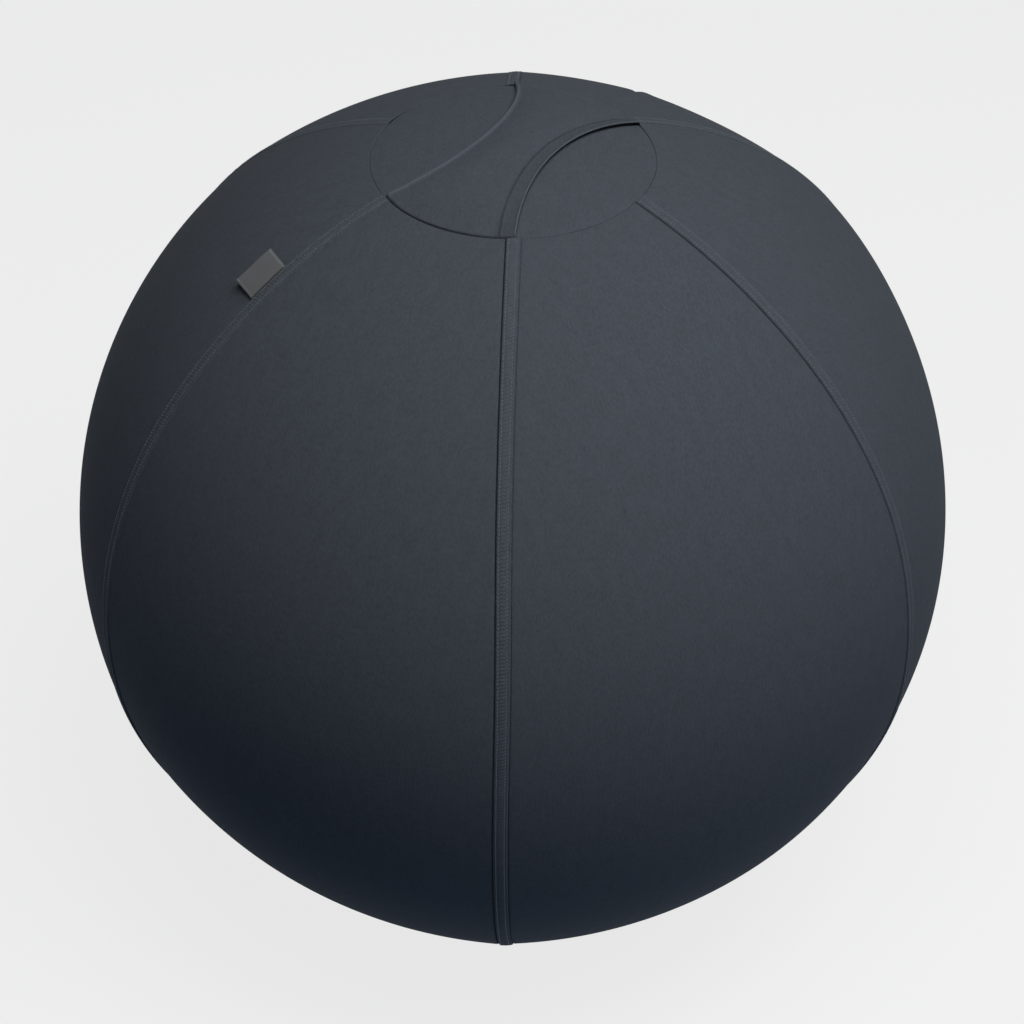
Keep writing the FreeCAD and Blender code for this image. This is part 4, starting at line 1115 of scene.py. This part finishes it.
class CHAIR_OT_ring_zip(bpy.types.Operator):
    """Makes the two tapes of the ring zip and finishes its teeth, slider, pull and stops"""

    bl_idname = "chair.ring_zip"
    bl_label = "Ring zip"

    def execute(self, context):
        sizes = context.scene.chair_sizes
        colours = context.scene.chair_colours
        finish = woven_finish("zip_tape_weave", colours.tape, pitch=0.0008, relief=0.00015)
        teeth = moulded_finish("moulded_teeth", colours.teeth, 0.38)
        metal = moulded_finish("painted_zinc", colours.metal, 0.3, metallic=0.6)
        half = zip_sweep()
        edge = sizes.tape_width + 2 * sizes.zip_half
        tapes = {"cover": (0.0002, sizes.tape_width), "base": (edge, edge + sizes.tape_width)}
        for name, (upper, lower) in tapes.items():
            section = [slope_place(step, sizes.tape_depth, sizes) for step in np.linspace(upper, lower, 9)]
            piece = turned_cloth(f"tape_{name}", section, -half, half, 240, finish)
            thicken(piece, sizes.tape_wall)
            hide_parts(f"zip_tape_{name}")
            run = 2 * half * section[4][0]
            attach(piece, "root")
        for node in ("zip_teeth_cover", "zip_teeth_base", "zip_top_stops", "zip_bottom_stop"):
            paint(node, teeth)
        for node in ("zip_slider", "zip_pull"):
            paint(node, metal)
        return {"FINISHED"}


def paint(node, finish):
    """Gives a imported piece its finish."""
    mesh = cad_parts[node].data
    mesh.materials.clear()
    mesh.materials.append(finish)


class CHAIR_OT_sole(bpy.types.Operator):
    """Finishes the grip sole"""

    bl_idname = "chair.sole"
    bl_label = "Grip sole"

    def execute(self, context):
        paint("grip_sole", rubber_finish(context.scene.chair_colours.rubber))
        return {"FINISHED"}


# How finely a pouch is divided, and how often its corners are rounded
POUCH_VOXEL = 0.0035
POUCH_ROUNDING = 14


class CHAIR_OT_ballast(bpy.types.Operator):
    """Fills the six sand pouches that hold the chair upright"""

    bl_idname = "chair.ballast"
    bl_label = "Ballast"

    def execute(self, context):
        tint = context.scene.chair_colours.sandbag
        finish = woven_finish("pouch_canvas", tint, pitch=0.0014, relief=0.0002)
        for number in range(1, len(PANELS) + 1):
            node = f"ballast_pouch_{number}"
            piece = bpy.data.objects.new(f"pouch_{number}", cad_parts[node].data.copy())
            context.scene.collection.objects.link(piece)
            apply_modifier(piece, "REMESH", mode="VOXEL", voxel_size=POUCH_VOXEL)
            apply_modifier(piece, "SMOOTH", factor=0.5, iterations=POUCH_ROUNDING)
            self.map_cloth(piece.data)
            piece.data.materials.clear()
            piece.data.materials.append(finish)
            piece.data.shade_smooth()
            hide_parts(node)
            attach(piece, "root")
        return {"FINISHED"}

    def map_cloth(self, mesh):
        """Lays the weave's map round and along the pouch, in metres."""
        places = np.array([vertex.co for vertex in mesh.vertices])
        corners = np.zeros(len(mesh.loops), np.int32)
        mesh.loops.foreach_get("vertex_index", corners)
        cloth_map = np.stack([places[:, 0] + places[:, 2], places[:, 1]], axis=-1)
        layer = mesh.uv_layers.new(name="cloth")
        layer.data.foreach_set("uv", cloth_map[corners].astype(np.float32).ravel())


class CHAIR_OT_inside(bpy.types.Operator):
    """Finishes the inner ball and its valve"""

    bl_idname = "chair.inside"
    bl_label = "Inside"

    def execute(self, context):
        colours = context.scene.chair_colours
        paint("inner_ball", vinyl_finish("ball_vinyl", colours.vinyl, 0.006))
        paint("valve_seat", vinyl_finish("valve_vinyl", colours.vinyl, 0.003))
        paint("valve_plug", moulded_finish("plug_plastic", colours.plug, 0.35))
        return {"FINISHED"}


def direction(elevation, azimuth):
    """The way from the chair to a lamp or the camera. Azimuth 0 is in front."""
    level = math.cos(elevation)
    return Vector((math.sin(azimuth) * level, -math.cos(azimuth) * level, math.sin(elevation)))


# Tints of the light from the floor and from all round
BOUNCE_TINT = (0.62, 1.05, 1.8)
AMBIENT_TINT = (0.60, 0.78, 1.0)
# Height and azimuth of each light, in degrees
LAMPS = {"key_light": (60, 60), "top_light": (72, 8), "rear_light": (60, 120), "side_light": (10, 60)}


class CHAIR_OT_studio(bpy.types.Operator):
    """Sets the floor, the lights and the camera"""

    bl_idname = "chair.studio"
    bl_label = "Studio"

    def execute(self, context):
        scene = context.scene
        studio = scene.chair_studio
        scene.view_settings.view_transform = "Standard"
        self.floor(scene.chair_colours.floor, studio)
        self.world(scene, studio)
        middle = Vector((0, 0, BALL_CENTRE))
        for name, (elevation, azimuth) in LAMPS.items():
            self.light(name, middle, direction(math.radians(elevation), math.radians(azimuth)), studio)
        back = direction(studio.elevation, studio.azimuth)
        data = bpy.data.cameras.new("camera")
        data.lens = studio.lens
        data.sensor_width = 36
        data.shift_x = studio.shift_x
        data.shift_y = studio.shift_y
        camera = bpy.data.objects.new("camera", data)
        camera.location = middle + back * studio.distance
        camera.rotation_euler = (-back).to_track_quat("-Z", "Y").to_euler()
        scene.collection.objects.link(camera)
        scene.camera = camera
        return {"FINISHED"}

    def floor(self, tint, studio):
        bpy.ops.object.select_all(action="DESELECT")
        bpy.ops.mesh.primitive_plane_add(size=studio.floor_width, location=(0, 0, 0))
        floor = bpy.context.object
        floor.name = "studio_floor"
        finish = Finish("studio_floor", tint, Roughness=0.9, Specular_IOR_Level=0.1)
        pale = finish.node("ShaderNodeEmission", None, {"Color": (1, 1, 1, 1), "Strength": studio.paleness})
        rays = finish.node("ShaderNodeLightPath").socket.node.outputs
        seen = Wire(finish, rays["Is Camera Ray"]) + Wire(finish, rays["Is Glossy Ray"])
        seen = seen + Wire(finish, rays["Is Transmission Ray"])
        bounced = tuple(studio.bounce * part for part in BOUNCE_TINT) + (1,)
        finish.feed("Base Color", finish.blend(seen, bounced, (*tint, 1)))
        surface = Wire(finish, finish.shader.outputs[0])
        mixed = finish.node("ShaderNodeMixShader", None, {0: seen * studio.pale_share, 1: surface, 2: pale})
        finish.join(finish.tree.nodes["Material Output"].inputs["Surface"], mixed)
        floor.data.materials.append(finish.material)
        floor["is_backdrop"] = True

    def world(self, scene, studio):
        world = bpy.data.worlds.new("studio")
        world.use_nodes = True
        scene.world = world
        tree = world.node_tree
        light = tree.nodes["Background"]
        light.inputs["Color"].default_value = (*AMBIENT_TINT, 1)
        light.inputs["Strength"].default_value = studio.ambient
        pale = tree.nodes.new("ShaderNodeBackground")
        pale.inputs["Strength"].default_value = studio.paleness
        rays = tree.nodes.new("ShaderNodeLightPath").outputs
        total = rays["Is Camera Ray"]
        for name in ("Is Glossy Ray", "Is Transmission Ray"):
            add = tree.nodes.new("ShaderNodeMath")
            tree.links.new(total, add.inputs[0])
            tree.links.new(rays[name], add.inputs[1])
            total = add.outputs[0]
        mix = tree.nodes.new("ShaderNodeMixShader")
        tree.links.new(total, mix.inputs[0])
        tree.links.new(light.outputs[0], mix.inputs[1])
        tree.links.new(pale.outputs[0], mix.inputs[2])
        tree.links.new(mix.outputs[0], tree.nodes["World Output"].inputs["Surface"])

    def light(self, name, target, offset, studio):
        """A round soft light aimed at the chair."""
        data = bpy.data.lights.new(name, "AREA")
        data.shape = "DISK"
        data.size = studio.lamp_width
        data.energy = getattr(studio, name)
        lamp = bpy.data.objects.new(name, data)
        lamp.location = target + offset * studio.lamp_distance
        lamp.rotation_euler = (-offset).to_track_quat("-Z", "Y").to_euler()
        bpy.context.scene.collection.objects.link(lamp)


STEPS = (
    CHAIR_OT_cover_panels,
    CHAIR_OT_topstitching,
    CHAIR_OT_top_disc,
    CHAIR_OT_handle,
    CHAIR_OT_label,
    CHAIR_OT_ring_zip,
    CHAIR_OT_base,
    CHAIR_OT_sole,
    CHAIR_OT_ballast,
    CHAIR_OT_inside,
    CHAIR_OT_studio,
)


class CHAIR_PT_panel(bpy.types.Panel):
    """Sizes, colours and steps of the balance ball chair"""

    bl_idname = "CHAIR_PT_panel"
    bl_label = "Balance ball chair"
    bl_space_type = "VIEW_3D"
    bl_region_type = "UI"
    bl_category = "Chair"

    def draw(self, context):
        layout = self.layout
        for step in STEPS:
            layout.operator(step.bl_idname)
        for group in (context.scene.chair_sizes, context.scene.chair_colours, context.scene.chair_studio):
            box = layout.box()
            for name in group.__annotations__:
                box.prop(group, name)


CLASSES = (ChairSizes, ChairColours, StudioSettings, *STEPS, CHAIR_PT_panel)


def register():
    """Adds the chair's settings, steps and panel."""
    for item in CLASSES:
        bpy.utils.register_class(item)
    bpy.types.Scene.chair_sizes = PointerProperty(type=ChairSizes)
    bpy.types.Scene.chair_colours = PointerProperty(type=ChairColours)
    bpy.types.Scene.chair_studio = PointerProperty(type=StudioSettings)


def unregister():
    """Takes them away again."""
    del bpy.types.Scene.chair_studio
    del bpy.types.Scene.chair_colours
    del bpy.types.Scene.chair_sizes
    for item in reversed(CLASSES):
        bpy.utils.unregister_class(item)


def main():
    """Makes the chair step by step and works out its two boxes."""
    register()
    for step in STEPS:
        group, name = step.bl_idname.split(".")
        getattr(getattr(bpy.ops, group), name)()
    boxes = {"cad": CAD_BOX, "visual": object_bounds()}
    boxes = {name: [list(corner) for corner in box] for name, box in boxes.items()}


if __name__ == "__main__":
    main()
